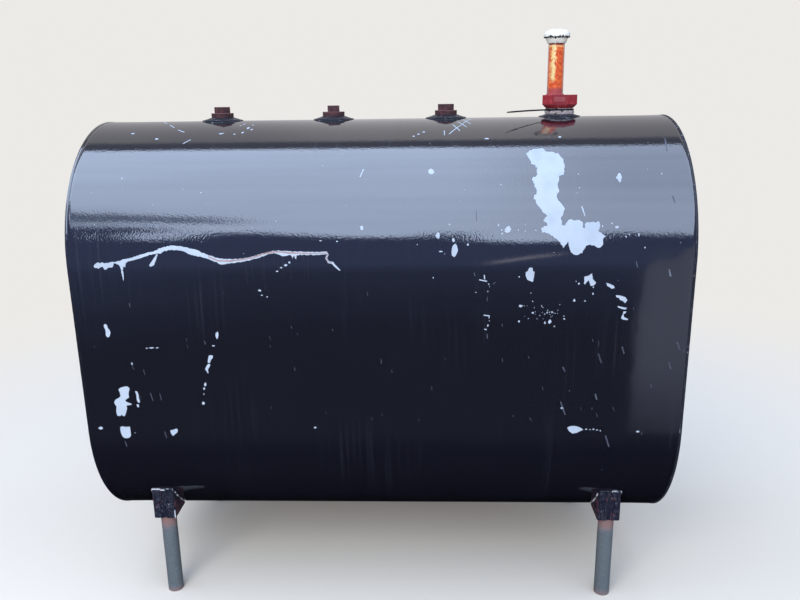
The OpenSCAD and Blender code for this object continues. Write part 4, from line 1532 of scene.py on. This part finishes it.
bracket_paint = worn_enamel()
weld_metal = scraped_weld()
print("finishes of the brackets:", bracket_paint.name, "and", weld_metal.name)

# %% Brackets
PLATE = 4.0
FOLD_R = 6.0
GROOVE_WIDE = 14.0
GROOVE_DEEP = 3.0
CHEEK_RUN = 82.0
CHEEK_STEPS = 10
LIFT_STEPS = 4
STOP_BACK = 51.8
BRACKET_PLAY = 0.2
BRACKET_WELD_R = 2.0


def belly_height(y):
    """Height just under the tank at a distance from its middle plane."""
    return LOWER_Z - sqrt(ROUND**2 - y**2) - BRACKET_PLAY * MM


def leg_bracket(low, high):
    """Folded plate laid against the round bottom, its stop plate, and the weld's path."""
    half = (high.x - low.x) / 2 / MM
    centre_x = (high.x + low.x) / 2
    front = max(abs(low.y), abs(high.y)) / MM
    sign = 1 if high.y > 0 else -1
    step = (CHEEK_RUN - FOLD_R) / CHEEK_STEPS
    cheek = [front - CHEEK_RUN + step * i for i in range(CHEEK_STEPS)]
    plan = [(half, y) for y in cheek]
    plan += arc(half - FOLD_R, front - FOLD_R, FOLD_R, 0, 90, 5)
    groove = [(GROOVE_WIDE / 2, front), (GROOVE_WIDE / 2 - 2, front - GROOVE_DEEP)]
    plan += groove + [(-x, y) for x, y in reversed(groove)]
    plan += arc(FOLD_R - half, front - FOLD_R, FOLD_R, 90, 180, 5)
    plan += [(-half, y) for y in reversed(cheek)]
    bm = bmesh.new()
    edges = draw_line(bm, [(centre_x + x * MM, sign * y * MM, low.z) for x, y in plan])
    for i in range(LIFT_STEPS):
        points, edges = extruded(bm, edges)
        for vert in points:
            vert.co.z = low.z + (belly_height(vert.co.y) - low.z) * (i + 1) / LIFT_STEPS
    bmesh.ops.recalc_face_normals(bm, faces=bm.faces)
    face = max(bm.faces, key=lambda f: f.calc_center_median().x)
    if face.normal.x < 0:
        bmesh.ops.reverse_faces(bm, faces=bm.faces)
    bmesh.ops.solidify(bm, geom=bm.faces[:], thickness=PLATE * MM)
    stop_y = front - STOP_BACK
    stop_top = belly_height((stop_y - PLATE / 2) * MM)
    size = Matrix.Diagonal(((2 * half - PLATE) * MM, PLATE * MM, stop_top - low.z, 1))
    place = Matrix.Translation((centre_x, sign * stop_y * MM, (stop_top + low.z) / 2))
    bmesh.ops.create_cube(bm, size=1.0, matrix=place @ size)
    path = [Vector((centre_x + x * 1.01 * MM, sign * (y + 0.5) * MM, 0)) for x, y in plan]
    for point in path:
        point.z = belly_height(point.y) + 0.1 * MM
    return bm, path


CORNERS = [(end, row) for row in ("front", "rear") for end in ("left", "right")]
for end, row in CORNERS:
    node = "bracket_%s_%s" % (row, end)
    bm, weld_path = leg_bracket(*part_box(node))
    name = "folded_bracket_%s_%s" % (row, end)
    bracket = new_piece(bm, name, bracket_paint, [node])
    round_off(bracket, 0.5 * MM)
    bm = bmesh.new()
    lay_bead(bm, weld_path, BRACKET_WELD_R * MM)
    new_piece(bm, "bracket_weld_%s_%s" % (row, end), weld_metal)

# %% [markdown]
# ## Matt coats
#
# Scraped steel, primer, rust in a scratch and dried dust have no gloss at all. They differ
# only in their colours and in how coarse their mottling is, so one function makes a finish
# of that kind. Its first use is on the left front bracket, whose lower fold has been scraped
# bare. A short bead along the fold shows that.

# %% Matt coats
MATT_GRAIN = 0.15 * MM


def matt_coat(name, light, dark, wave):
    """Matt and a little mottled, as primer, rust and dried dust are."""
    finish, tree = new_finish(name)
    place = add(tree, "TexCoord", output="Object")
    clouds = add(tree, "TexNoise", {"Vector": place, "Scale": 1 / wave, "Detail": 4.0})
    cloudy = add(tree, "MapRange", {0: clouds, 1: 0.42, 2: 0.7}, **SOFT)
    colour = add(tree, "Mix", {0: cloudy, 6: light, 7: dark}, **COLOURS)
    grain = add(tree, "Bump", {"Height": clouds, "Distance": MATT_GRAIN})
    look = {"Base Color": colour, "Roughness": 0.6, "Normal": grain}
    add(tree, "OutputMaterial", {0: add(tree, "BsdfPrincipled", look)})
    return finish


bare_metal = matt_coat("bare_scraped_steel", SCRAPED, BRACKET_DUST, GRIT)
print("first matt coat:", bare_metal.name)

# %% A fold scraped bare
SCRAPE_R = 1.7
SCRAPE_STEP = 2.0
SCRAPE_STEPS = 12

low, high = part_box("bracket_front_left")
in_fold = 0.3 * FOLD_R * MM
heights = [low.z + (1 + SCRAPE_STEP * i) * MM for i in range(SCRAPE_STEPS)]
fold = [Vector((high.x - in_fold, low.y + in_fold, z)) for z in heights]
bm = bmesh.new()
lay_bead(bm, fold, SCRAPE_R * MM)
new_piece(bm, "scraped_fold", bare_metal)

# %% [markdown]
# ## Legs
#
# The legs are lengths of galvanised 1 1/4 inch pipe, cut square. Zinc that has stood in the
# wet turns a dull blue grey with pale blooms, and where the saw cut it and where the bracket
# rubs it the steel rusts. Each is a turned tube with small chamfers at its ends.

# %% Weathered zinc
ZINC = paint("7f878b")
ZINC_BLOOM = paint("8f9698")
ZINC_RUST = paint("86615a")
BLOOM = 4.5 * MM
RUST_RING_Z = 226 * MM
RUST_REACH = 26 * MM
RUST_WANDER = 60 * MM
RUST_SHOWN = 0.85


def weathered_zinc():
    """Hot-dip galvanised steel, dulled, with rust at its upper end and at its foot."""
    finish, tree = new_finish("weathered_galvanised_pipe")
    place = add(tree, "TexCoord", output="Object")
    blooms = {"Vector": place, "Scale": 1 / BLOOM, "Detail": 5.0, "Roughness": 0.6}
    blooms = add(tree, "TexNoise", blooms)
    pale = add(tree, "MapRange", {0: blooms, 1: 0.42, 2: 0.68}, **SOFT)
    colour = add(tree, "Mix", {0: pale, 6: ZINC, 7: ZINC_BLOOM}, **COLOURS)
    height = add(tree, "SeparateXYZ", {0: place}, output="Z")
    uneven = add(tree, "Math", {0: blooms, 1: RUST_WANDER, 2: height}, operation="MULTIPLY_ADD")
    at_top = add(tree, "MapRange", {0: uneven, 1: RUST_RING_Z, 2: RUST_RING_Z + RUST_REACH}, **SOFT)
    at_foot = add(tree, "MapRange", {0: uneven, 1: 2 * RUST_REACH, 2: RUST_REACH}, **SOFT)
    rusty = add(tree, "Math", {0: at_top, 1: at_foot}, operation="MAXIMUM")
    rusty = add(tree, "Math", {0: rusty, 1: RUST_SHOWN}, operation="MULTIPLY")
    colour = add(tree, "Mix", {0: rusty, 6: colour, 7: ZINC_RUST}, **COLOURS)
    rough = add(tree, "MapRange", {0: rusty, 3: 0.48, 4: 0.85})
    metal = add(tree, "MapRange", {0: rusty, 3: 0.55, 4: 0.0})
    pits = add(tree, "Bump", {"Height": blooms, "Distance": 0.3 * MM})
    look = {"Base Color": colour, "Metallic": metal, "Roughness": rough, "Normal": pits}
    add(tree, "OutputMaterial", {0: add(tree, "BsdfPrincipled", look)})
    return finish


zinc = weathered_zinc()
print("finish of the legs:", zinc.name)

# %% Pipe legs
PIPE_R = 21.1
PIPE_WALL = 3.6
LEG_LENGTH = 275.0

for end, row in CORNERS:
    node = "leg_%s_%s" % (row, end)
    middle = middle_of(node)
    inner = PIPE_R - PIPE_WALL
    outline = [(inner, 0.6), (inner + 0.6, 0), (PIPE_R - 0.8, 0), (PIPE_R, 0.8)]
    outline += [(PIPE_R, LEG_LENGTH * i / 6) for i in range(1, 6)]
    outline += [(PIPE_R, LEG_LENGTH - 0.8), (PIPE_R - 0.8, LEG_LENGTH)]
    outline += [(inner + 0.6, LEG_LENGTH), (inner, LEG_LENGTH - 0.6)]
    bm = bmesh.new()
    turn_outline(bm, Vector((middle.x, middle.y, 0)), outline, steps=56)
    new_piece(bm, "pipe_leg_%s_%s" % (row, end), zinc, [node])

# %% [markdown]
# ## Bare primer
#
# Where the enamel has come off, a pale blue primer shows. There is a large bare patch on the
# right, a long scratch across the left, and chips of all sizes between them. They are real
# pieces and not painted on, because the enamel is thick enough to have a broken edge. Their
# places and sizes were measured in millimetres: the way along the tank, and the girth. Each
# mark is drawn flat with a ragged outline and filled. The drawing is then cut into strips so
# that it can bend, laid on the dented sheet with its top a seventh of a millimetre above
# it, and given a tenth of a millimetre of thickness. A mask in the enamel's own nodes would
# do the same job with no new pieces, but its edge would be flat and soft.

# %% Primer and rust in the marks
PRIMER = paint("afbac6")
PRIMER_SHADE = paint("a6b1be")
CORE_RUST = paint("a68c88")
CORE_BROWN = paint("75605c")
RUN_BROWN = paint("2b262e")
OLD_DUST = paint("565b69")
PRIMER_WAVE = 40 * MM

primer = matt_coat("zinc_rich_primer", PRIMER, PRIMER_SHADE, PRIMER_WAVE)
core_rust = matt_coat("rust_in_scratch", CORE_RUST, CORE_BROWN, RUST_GRAIN)
run_stain = matt_coat("rust_stain", RUN_BROWN, ENAMEL, PRIMER_WAVE)
dried_dust = matt_coat("dried_dust", OLD_DUST, ENAMEL_DUST, PRIMER_WAVE)
print("coats in the marks:", primer.name, core_rust.name, run_stain.name, dried_dust.name)

# %% Drawing marks and laying them on the sheet
RAG_STEP = 2.8
STRIP = 10.0
MARK_THICKNESS = 0.1 * MM
MARK_LIFT = 0.14 * MM
rag = random.Random(4)


def ragged(outline, rough):
    """Adds points along an outline and shakes them, as enamel breaks off unevenly."""
    points = []
    for start, end in zip(outline, outline[1:] + outline[:1]):
        side = Vector(end) - Vector(start)
        count = max(1, round(side.length / RAG_STEP))
        for i in range(count):
            shake = Vector((rag.uniform(-rough, rough), rag.uniform(-rough, rough)))
            points.append(Vector(start) + side * i / count + shake)
    return points


def draw_mark(bm, outline, rough=0.4):
    """Draws a mark flat, with x along the tank and y down the girth, in millimetres."""
    points = [(p.x, p.y, 0) for p in ragged(outline, rough)]
    bmesh.ops.triangle_fill(bm, use_beauty=True, edges=draw_line(bm, points, closed=True))


def draw_chip(bm, x, girth, width, height, tilt=0):
    """Draws a chip: a rough oval that may be tilted by some degrees."""
    corners = rag.randint(7, 11)
    outline = []
    for i in range(corners):
        way, reach = 2 * pi * i / corners, rag.uniform(0.62, 1.15)
        across, down = reach * width / 2 * cos(way), reach * height / 2 * sin(way)
        turned = Matrix.Rotation(radians(tilt), 2) @ Vector((across, down))
        outline.append((x + turned.x, girth + turned.y))
    draw_mark(bm, outline, 0.08 * min(width, height))


def draw_line_mark(bm, path, widths, rough):
    """Draws a scratch: a band along a path, with its width at each point."""
    upper, lower = [], []
    for i, point in enumerate(path):
        along = Vector(path[min(i + 1, len(path) - 1)]) - Vector(path[max(i - 1, 0)])
        across = Vector((along.y, -along.x)).normalized() * widths[i] / 2
        upper.append(tuple(Vector(point) + across))
        lower.append(tuple(Vector(point) - across))
    draw_mark(bm, upper + lower[::-1], rough)


def lay_on_sheet(bm, lift):
    """Cuts flat marks into strips, bends them round the sheet and makes them solid."""
    for axis in (0, 1):
        spread = [v.co[axis] for v in bm.verts]
        first, last = int(min(spread) // STRIP), int(max(spread) // STRIP)
        for i in range(first, last + 1):
            normal = Vector((1 - axis, axis, 0))
            geom = bm.verts[:] + bm.edges[:] + bm.faces[:]
            bmesh.ops.bisect_plane(bm, geom=geom, plane_co=normal * STRIP * i, plane_no=normal)
    for vert in bm.verts:
        vert.co = on_sheet(vert.co.x * MM, vert.co.y * MM, lift)
    bm.normal_update()
    inward = [f for f in bm.faces if f.normal.dot(out_of_tank(f.calc_center_median())) < 0]
    bmesh.ops.reverse_faces(bm, faces=inward)
    bmesh.ops.solidify(bm, geom=bm.faces[:], thickness=MARK_THICKNESS)


print("marks are", MARK_THICKNESS / MM, "mm thick")

# %% The large bare patch
PATCH = [(365, 245), (373, 235), (384, 228), (394, 228), (404, 225), (410, 228), (413, 237)]
PATCH += [(423, 239), (432, 239), (437, 245), (444, 243), (447, 253), (454, 264), (454, 278)]
PATCH += [(456, 286), (453, 296), (452, 309), (446, 312), (439, 313), (438, 319), (438, 328)]
PATCH += [(434, 335), (435, 346), (437, 355), (432, 361), (430, 370), (434, 379), (442, 387)]
PATCH += [(449, 399), (446, 405), (444, 414), (438, 421), (441, 430), (441, 438), (447, 440)]
PATCH += [(452, 433), (458, 425), (463, 424), (471, 427), (483, 427), (490, 433), (491, 440)]
PATCH += [(490, 445), (495, 446), (495, 435), (500, 431), (508, 432), (514, 431), (520, 433)]
PATCH += [(527, 430), (531, 434), (531, 443), (527, 453), (535, 458), (544, 466), (539, 472)]
PATCH += [(538, 484), (532, 493), (525, 493), (517, 487), (506, 485), (498, 488), (494, 495)]
PATCH += [(489, 505), (477, 510), (467, 507), (461, 499), (457, 487), (456, 478), (451, 484)]
PATCH += [(445, 492), (441, 486), (434, 476), (430, 472), (420, 464), (408, 458), (401, 454)]
PATCH += [(395, 455), (393, 446), (399, 441), (406, 439), (405, 432), (397, 427), (402, 421)]
PATCH += [(407, 417), (404, 412), (397, 407), (391, 397), (382, 386), (380, 377), (376, 373)]
PATCH += [(377, 366), (383, 362), (384, 354), (383, 348), (378, 341), (379, 334), (374, 324)]
PATCH += [(377, 316), (385, 314), (388, 307), (386, 297), (389, 287), (385, 289), (384, 281)]
PATCH += [(375, 277), (376, 272), (370, 259)]
bm = bmesh.new()
draw_mark(bm, PATCH, 1.0)
lay_on_sheet(bm, MARK_LIFT)
new_piece(bm, "bare_patch", primer)

# %% [markdown]
# ### The long scratch
#
# Something long was dragged across the left half. It took the enamel off down to the primer
# and then cut through the primer, so that the middle of the scratch has rusted. Rain has
# washed a little of that rust down the side in thin stains. The rusty core is a second,
# narrower mark laid over the first, and the stains are a few narrow upright bands.

# %% The long scratch, its rusty core and the stains below it
CORE_LIFT = 0.22 * MM
STAINS = 14

SCRATCH = [(-695, 529), (-685, 521), (-663, 522), (-639, 519), (-617, 513), (-591, 506), (-567, 499)]
SCRATCH += [(-543, 493), (-523, 485), (-503, 481), (-486, 481), (-464, 485), (-441, 490), (-426, 497)]
SCRATCH += [(-407, 505), (-387, 512), (-368, 514), (-349, 514), (-325, 513), (-302, 509), (-278, 501)]
SCRATCH += [(-258, 496), (-239, 494), (-212, 496), (-185, 497), (-154, 498), (-121, 498), (-120, 504)]
SCRATCH += [(-146, 505), (-173, 505), (-193, 506), (-197, 516), (-200, 506), (-205, 514), (-208, 505)]
SCRATCH += [(-228, 508), (-235, 504), (-251, 500), (-266, 504), (-286, 511), (-310, 517), (-333, 522)]
SCRATCH += [(-357, 524), (-379, 528), (-392, 521), (-407, 515), (-426, 509), (-442, 505), (-457, 501)]
SCRATCH += [(-469, 495), (-484, 491), (-504, 491), (-519, 494), (-526, 499), (-533, 498), (-551, 502)]
SCRATCH += [(-571, 508), (-591, 514), (-608, 519), (-614, 521), (-616, 533), (-621, 531), (-624, 541)]
SCRATCH += [(-622, 553), (-625, 567), (-627, 553), (-628, 537), (-632, 525), (-643, 522), (-649, 533)]
SCRATCH += [(-660, 534), (-666, 539), (-674, 531), (-684, 535), (-694, 533)]
DRIP = [(-536, 500), (-534, 502), (-545, 528), (-554, 532), (-557, 528), (-548, 516)]
SCRATCH_STEP = [(-122, 498), (-119, 505), (-123, 513), (-118, 523), (-108, 525), (-101, 534), (-90, 544)]
CORE = [(-410, 508), (-387, 518), (-357, 519), (-330, 516), (-302, 511), (-278, 503), (-258, 498)]
CORE += [(-239, 497), (-212, 500), (-185, 501), (-154, 502), (-124, 501)]
bm = bmesh.new()
draw_mark(bm, SCRATCH, 1.2)
draw_mark(bm, DRIP, 0.3)
draw_line_mark(bm, SCRATCH_STEP, [3, 4, 4, 5, 6, 5, 3], 0.4)
lay_on_sheet(bm, MARK_LIFT)
new_piece(bm, "long_scratch", primer)

bm = bmesh.new()
draw_line_mark(bm, CORE, [rag.uniform(2.4, 4.4) for _ in CORE], 0.5)
draw_line_mark(bm, SCRATCH_STEP[:5], [1.5, 2, 2, 2, 1.5], 0.3)
lay_on_sheet(bm, CORE_LIFT)
new_piece(bm, "rusty_core", core_rust)

bm = bmesh.new()
for _ in range(STAINS):
    x, top, down = rag.uniform(-330, -118), rag.uniform(506, 530), rag.uniform(20, 70)
    draw_line_mark(bm, [(x, top), (x, top + down / 2), (x, top + down)], [0.9, 0.8, 0.6], 0.12)
lay_on_sheet(bm, MARK_LIFT)
new_piece(bm, "rust_stains", run_stain)

# %% [markdown]
# ### Chips
#
# Chips too large to pass for an oval have outlines of their own, each named for its shape.
# The small ones are rough ovals, given only by place and size. The list holds the ones that
# can be told apart in the photograph. Two sprinklings of still smaller ones are random: one
# right of the middle and one all over the upper part of the side.

# %% Chips with shapes of their own
TWO_LEGGED = [(497, 563), (508, 560), (515, 555), (518, 569), (526, 578), (521, 585), (513, 586)]
TWO_LEGGED += [(510, 577), (508, 572), (504, 575), (500, 582), (497, 580), (498, 572)]
DIAGONAL = [(550, 578), (559, 581), (568, 585), (571, 591), (564, 593), (557, 588), (553, 586)]
CURL = [(575, 609), (586, 610), (598, 614), (603, 622), (598, 629), (593, 624), (586, 621), (583, 616)]
CURL += [(576, 614)]
BAR = [(581, 636), (590, 638), (603, 641), (601, 645), (592, 644), (582, 640)]
HOOK = [(595, 650), (603, 650), (601, 654), (596, 657), (598, 664), (608, 669), (606, 672), (595, 670)]
HOOK += [(591, 667), (592, 661), (595, 657)]
HIGH_RIGHT = [(575, 320), (581, 309), (586, 307), (589, 319), (586, 330), (582, 333), (579, 326)]
BAND_EDGE_OVAL = [(142, 458), (147, 452), (150, 455), (151, 464), (148, 469), (144, 467), (141, 462)]
TALL_OVAL = [(187, 480), (192, 485), (194, 497), (190, 508), (185, 513), (180, 509), (179, 499)]
TALL_OVAL += [(181, 487)]
UNDER_PATCH_OVAL = [(306, 447), (310, 442), (316, 439), (321, 446), (318, 453), (311, 456), (306, 453)]
DROP = [(365, 540), (373, 540), (374, 548), (378, 550), (377, 563), (375, 575), (368, 573), (361, 569)]
DROP += [(357, 560), (357, 551), (362, 548)]
BEAN = [(-687, 679), (-682, 677), (-679, 680), (-678, 687), (-674, 693), (-673, 700), (-676, 710)]
BEAN += [(-681, 712), (-685, 708), (-684, 700), (-685, 691), (-687, 685)]
WEDGE = [(-670, 852), (-663, 847), (-654, 844), (-645, 844), (-640, 849), (-643, 857), (-645, 866)]
WEDGE += [(-644, 874), (-650, 877), (-656, 883), (-651, 887), (-641, 891), (-640, 894), (-649, 895)]
WEDGE += [(-654, 897), (-653, 905), (-657, 916), (-661, 926), (-665, 926), (-669, 922), (-674, 926)]
WEDGE += [(-681, 924), (-682, 912), (-680, 899), (-684, 891), (-684, 885), (-680, 880), (-670, 874)]
WEDGE += [(-666, 869), (-667, 860)]
BESIDE_WEDGE = [(-627, 856), (-622, 857), (-619, 866), (-619, 877), (-617, 885), (-620, 889)]
BESIDE_WEDGE += [(-624, 885), (-625, 877), (-625, 867)]
SQUARE = [(-677, 956), (-669, 954), (-662, 956), (-651, 955), (-651, 968), (-651, 981), (-657, 987)]
SQUARE += [(-668, 988), (-674, 982), (-677, 971)]
STAR = [(-546, 965), (-538, 964), (-530, 960), (-526, 965), (-529, 972), (-535, 976), (-540, 982)]
STAR += [(-544, 976), (-546, 971)]
STRING_1 = [(-401, 698), (-400, 706), (-403, 717), (-406, 716), (-408, 709), (-407, 702)]
STRING_2 = [(-428, 760), (-419, 760), (-419, 767), (-425, 773), (-428, 781), (-433, 779), (-431, 769)]
STRING_3 = [(-432, 783), (-427, 784), (-429, 791), (-434, 797), (-434, 809), (-437, 805), (-441, 797)]
STRING_3 += [(-438, 790)]
SHAPED = [TWO_LEGGED, DIAGONAL, CURL, BAR, HOOK, HIGH_RIGHT, BAND_EDGE_OVAL, TALL_OVAL]
SHAPED += [UNDER_PATCH_OVAL, DROP, BEAN, WEDGE, BESIDE_WEDGE, SQUARE, STAR, STRING_1, STRING_2, STRING_3]
LONG_CHIP = [(473, 957), (480, 952), (490, 951), (500, 953), (508, 957), (514, 961), (506, 966)]
LONG_CHIP += [(498, 970), (488, 972), (480, 967)]
HIGH_MIDDLE = [(125, 291), (131, 288), (136, 292), (139, 299), (135, 305), (128, 304), (124, 298)]
bm = bmesh.new()
for outline in SHAPED + [LONG_CHIP, HIGH_MIDDLE]:
    draw_mark(bm, outline)
lay_on_sheet(bm, MARK_LIFT)
new_piece(bm, "shaped_chips", primer)

# %% Small chips, by place along the tank, girth, width and height
CHIPS = [(485, 580, 5, 5), (478, 574, 3, 3), (476, 621, 6, 9), (502, 623, 4, 4), (520, 605, 4, 6)]
CHIPS += [(520, 589, 3, 4), (407, 678, 4, 6), (431, 687, 3, 4), (454, 668, 6, 4), (412, 652, 4, 5)]
CHIPS += [(424, 651, 4, 3), (406, 656, 3, 3), (453, 661, 4, 2), (486, 309, 3, 4), (685, 310, 3, 5)]
CHIPS += [(486, 346, 4, 4), (570, 444, 9, 7), (559, 435, 4, 4), (537, 442, 3, 7), (600, 462, 4, 3)]
CHIPS += [(592, 467, 4, 4), (622, 463, 3, 8), (637, 493, 4, 5), (720, 482, 2, 2), (480, 359, 2, 5)]
CHIPS += [(184, 472, 8, 12), (174, 435, 4, 5), (97, 482, 2, 3), (153, 499, 9, 4), (135, 563, 3, 4)]
CHIPS += [(218, 483, 6, 6), (299, 449, 4, 6), (299, 457, 5, 5), (291, 437, 3, 7), (354, 436, 2, 3)]
CHIPS += [(354, 452, 3, 3), (379, 450, 4, 3), (338, 449, 2, 5), (342, 562, 4, 4), (238, 600, 3, 3)]
CHIPS += [(347, 635, 10, 7), (344, 674, 6, 6), (376, 624, 3, 4), (377, 653, 6, 5), (412, 652, 4, 3)]
CHIPS += [(424, 651, 5, 5), (407, 678, 5, 8), (419, 676, 10, 12), (430, 687, 3, 4), (388, 668, 2, 3)]
CHIPS += [(-213, 523, 6, 5), (-222, 530, 9, 6), (-233, 536, 6, 4), (-244, 545, 7, 4)]
CHIPS += [(-430, 349, 3, 3), (-136, 471, 8, 3), (-96, 473, 5, 4), (-289, 593, 9, 5), (-285, 605, 5, 3)]
CHIPS += [(-272, 609, 4, 3), (-585, 741, 6, 3), (-573, 740, 16, 4), (-558, 740, 8, 3)]
CHIPS += [(-627, 782, 5, 7), (-624, 897, 6, 10), (-728, 959, 13, 9), (-639, 972, 3, 3)]
CHIPS += [(-415, 735, 9, 4), (-444, 838, 6, 11), (-448, 850, 5, 8), (-450, 865, 3, 4)]
CHIPS += [(-453, 890, 7, 9), (271, 586, 2, 4), (267, 598, 2, 5), (269, 580, 3, 3), (272, 672, 2, 4)]
CHIPS += [(521, 960, 6, 4), (531, 961, 4, 3), (540, 960, 7, 4), (549, 962, 6, 3), (557, 964, 4, 4)]
CHIPS += [(651, 966, 10, 5)]
CHIPS += [(299, 336, 4, 4), (-632, 307, 4, 6), (-36, 441, 9, 10), (458, 902, 8, 6), (-169, 957, 8, 6)]
CHIPS += [(271, 183, 12, 7), (455, 180, 9, 8), (-645, 135, 9, 9), (-574, 166, 9, 8), (-410, 142, 15, 8)]
CHIPS += [(-376, 146, 7, 6), (-366, 72, 8, 8), (-347, 108, 7, 14), (-336, 118, 6, 9), (-356, 138, 8, 9)]
CHIPS += [(-372, 88, 6, 8), (88, 168, 6, 6), (100, 158, 8, 6), (113, 147, 7, 7), (-339, 84, 6, 8)]
CLUSTER = 28
SCATTERED = 26

bm = bmesh.new()
for chip in CHIPS:
    draw_chip(bm, *chip)
for _ in range(CLUSTER):
    x, girth = rag.gauss(400, 30), rag.gauss(648, 16)
    draw_chip(bm, x, girth, rag.uniform(1.2, 3), rag.uniform(1.2, 3))
for _ in range(SCATTERED):
    x, girth = rag.uniform(-720, 720), rag.uniform(200, 560)
    draw_chip(bm, x, girth, rag.uniform(1.2, 2.6), rag.uniform(1.2, 2.6))
lay_on_sheet(bm, MARK_LIFT)
new_piece(bm, "small_chips", primer)

# %% [markdown]
# ### Strokes and dashes
#
# Thin strokes are scratches that just reach the primer, such as the crossed ones near the
# third plug. Dashes are marks of dried dust that rain has drawn out. They are duller, most
# of them lean the same way, and a few dozen faint ones are placed at random.

# %% Thin strokes, white through the enamel
STROKES = [[(178, 160), (194, 132), (210, 106), (222, 80), (240, 44)], [(188, 100), (206, 143)]]
STROKES += [[(201, 72), (224, 120)], [(214, 50), (236, 98)], [(166, 140), (166, 165)]]
STROKES += [[(-598, 22), (-580, 55)], [(-566, 72), (-546, 98)], [(-532, 114), (-510, 132)]]
STROKES += [[(-500, 190), (-484, 172)], [(-34, 287), (-42, 310)], [(489, 393), (496, 417)]]
STROKES += [[(246, 569), (265, 573)], [(258, 557), (259, 568)], [(258, 658), (272, 660), (271, 666)]]
STROKES += [[(269, 682), (268, 687)], [(266, 695), (260, 694)], [(697, 546), (701, 562)]]
STROKE_WIDTH = 2.6

bm = bmesh.new()
for stroke in STROKES:
    draw_line_mark(bm, stroke, [STROKE_WIDTH] * len(stroke), 0.3)
lay_on_sheet(bm, MARK_LIFT)
new_piece(bm, "thin_strokes", primer)

# %% Dashes of dried dust
DASHES = [[(285, 575), (279, 580)], [(233, 551), (236, 560)], [(618, 526), (622, 541)]]
DASHES += [[(-627, 787), (-624, 798)], [(-599, 798), (-597, 812)], [(-588, 862), (-583, 883)]]
DASHES += [[(-564, 862), (-561, 881)], [(-561, 969), (-558, 987)], [(-669, 997), (-666, 1013)]]
DASHES += [[(-646, 447), (-643, 459)]]
DASHES += [[(266, 612), (266, 622)], [(238, 400), (239, 426)], [(267, 706), (268, 718)]]
BOLD_DASHES = [[(454, 885), (467, 921)], [(571, 978), (582, 1010)], [(541, 758), (550, 782)]]
BOLD_DASHES += [[(598, 740), (604, 758)], [(696, 545), (703, 564)], [(455, 792), (462, 805)]]
BOLD_DASHES += [[(539, 864), (544, 880)], [(714, 779), (720, 798)], [(730, 728), (739, 748)]]
BOLD_DASHES += [[(713, 191), (708, 240)], [(704, 369), (709, 387)]]
DASH_WIDTH = 1.6
BOLD_WIDTH = 3.2
FAINT_DASHES = 34

bm = bmesh.new()
for dash in DASHES:
    draw_line_mark(bm, dash, [DASH_WIDTH] * len(dash), 0.2)
for dash in BOLD_DASHES:
    draw_line_mark(bm, dash, [BOLD_WIDTH] * len(dash), 0.4)
for _ in range(FAINT_DASHES):
    x, girth = rag.uniform(-700, 700), rag.uniform(560, 980)
    draw_chip(bm, x, girth, rag.uniform(1.0, 1.7), rag.uniform(8, 16), rag.uniform(-22, -2))
lay_on_sheet(bm, MARK_LIFT)
new_piece(bm, "dust_dashes", dried_dust)
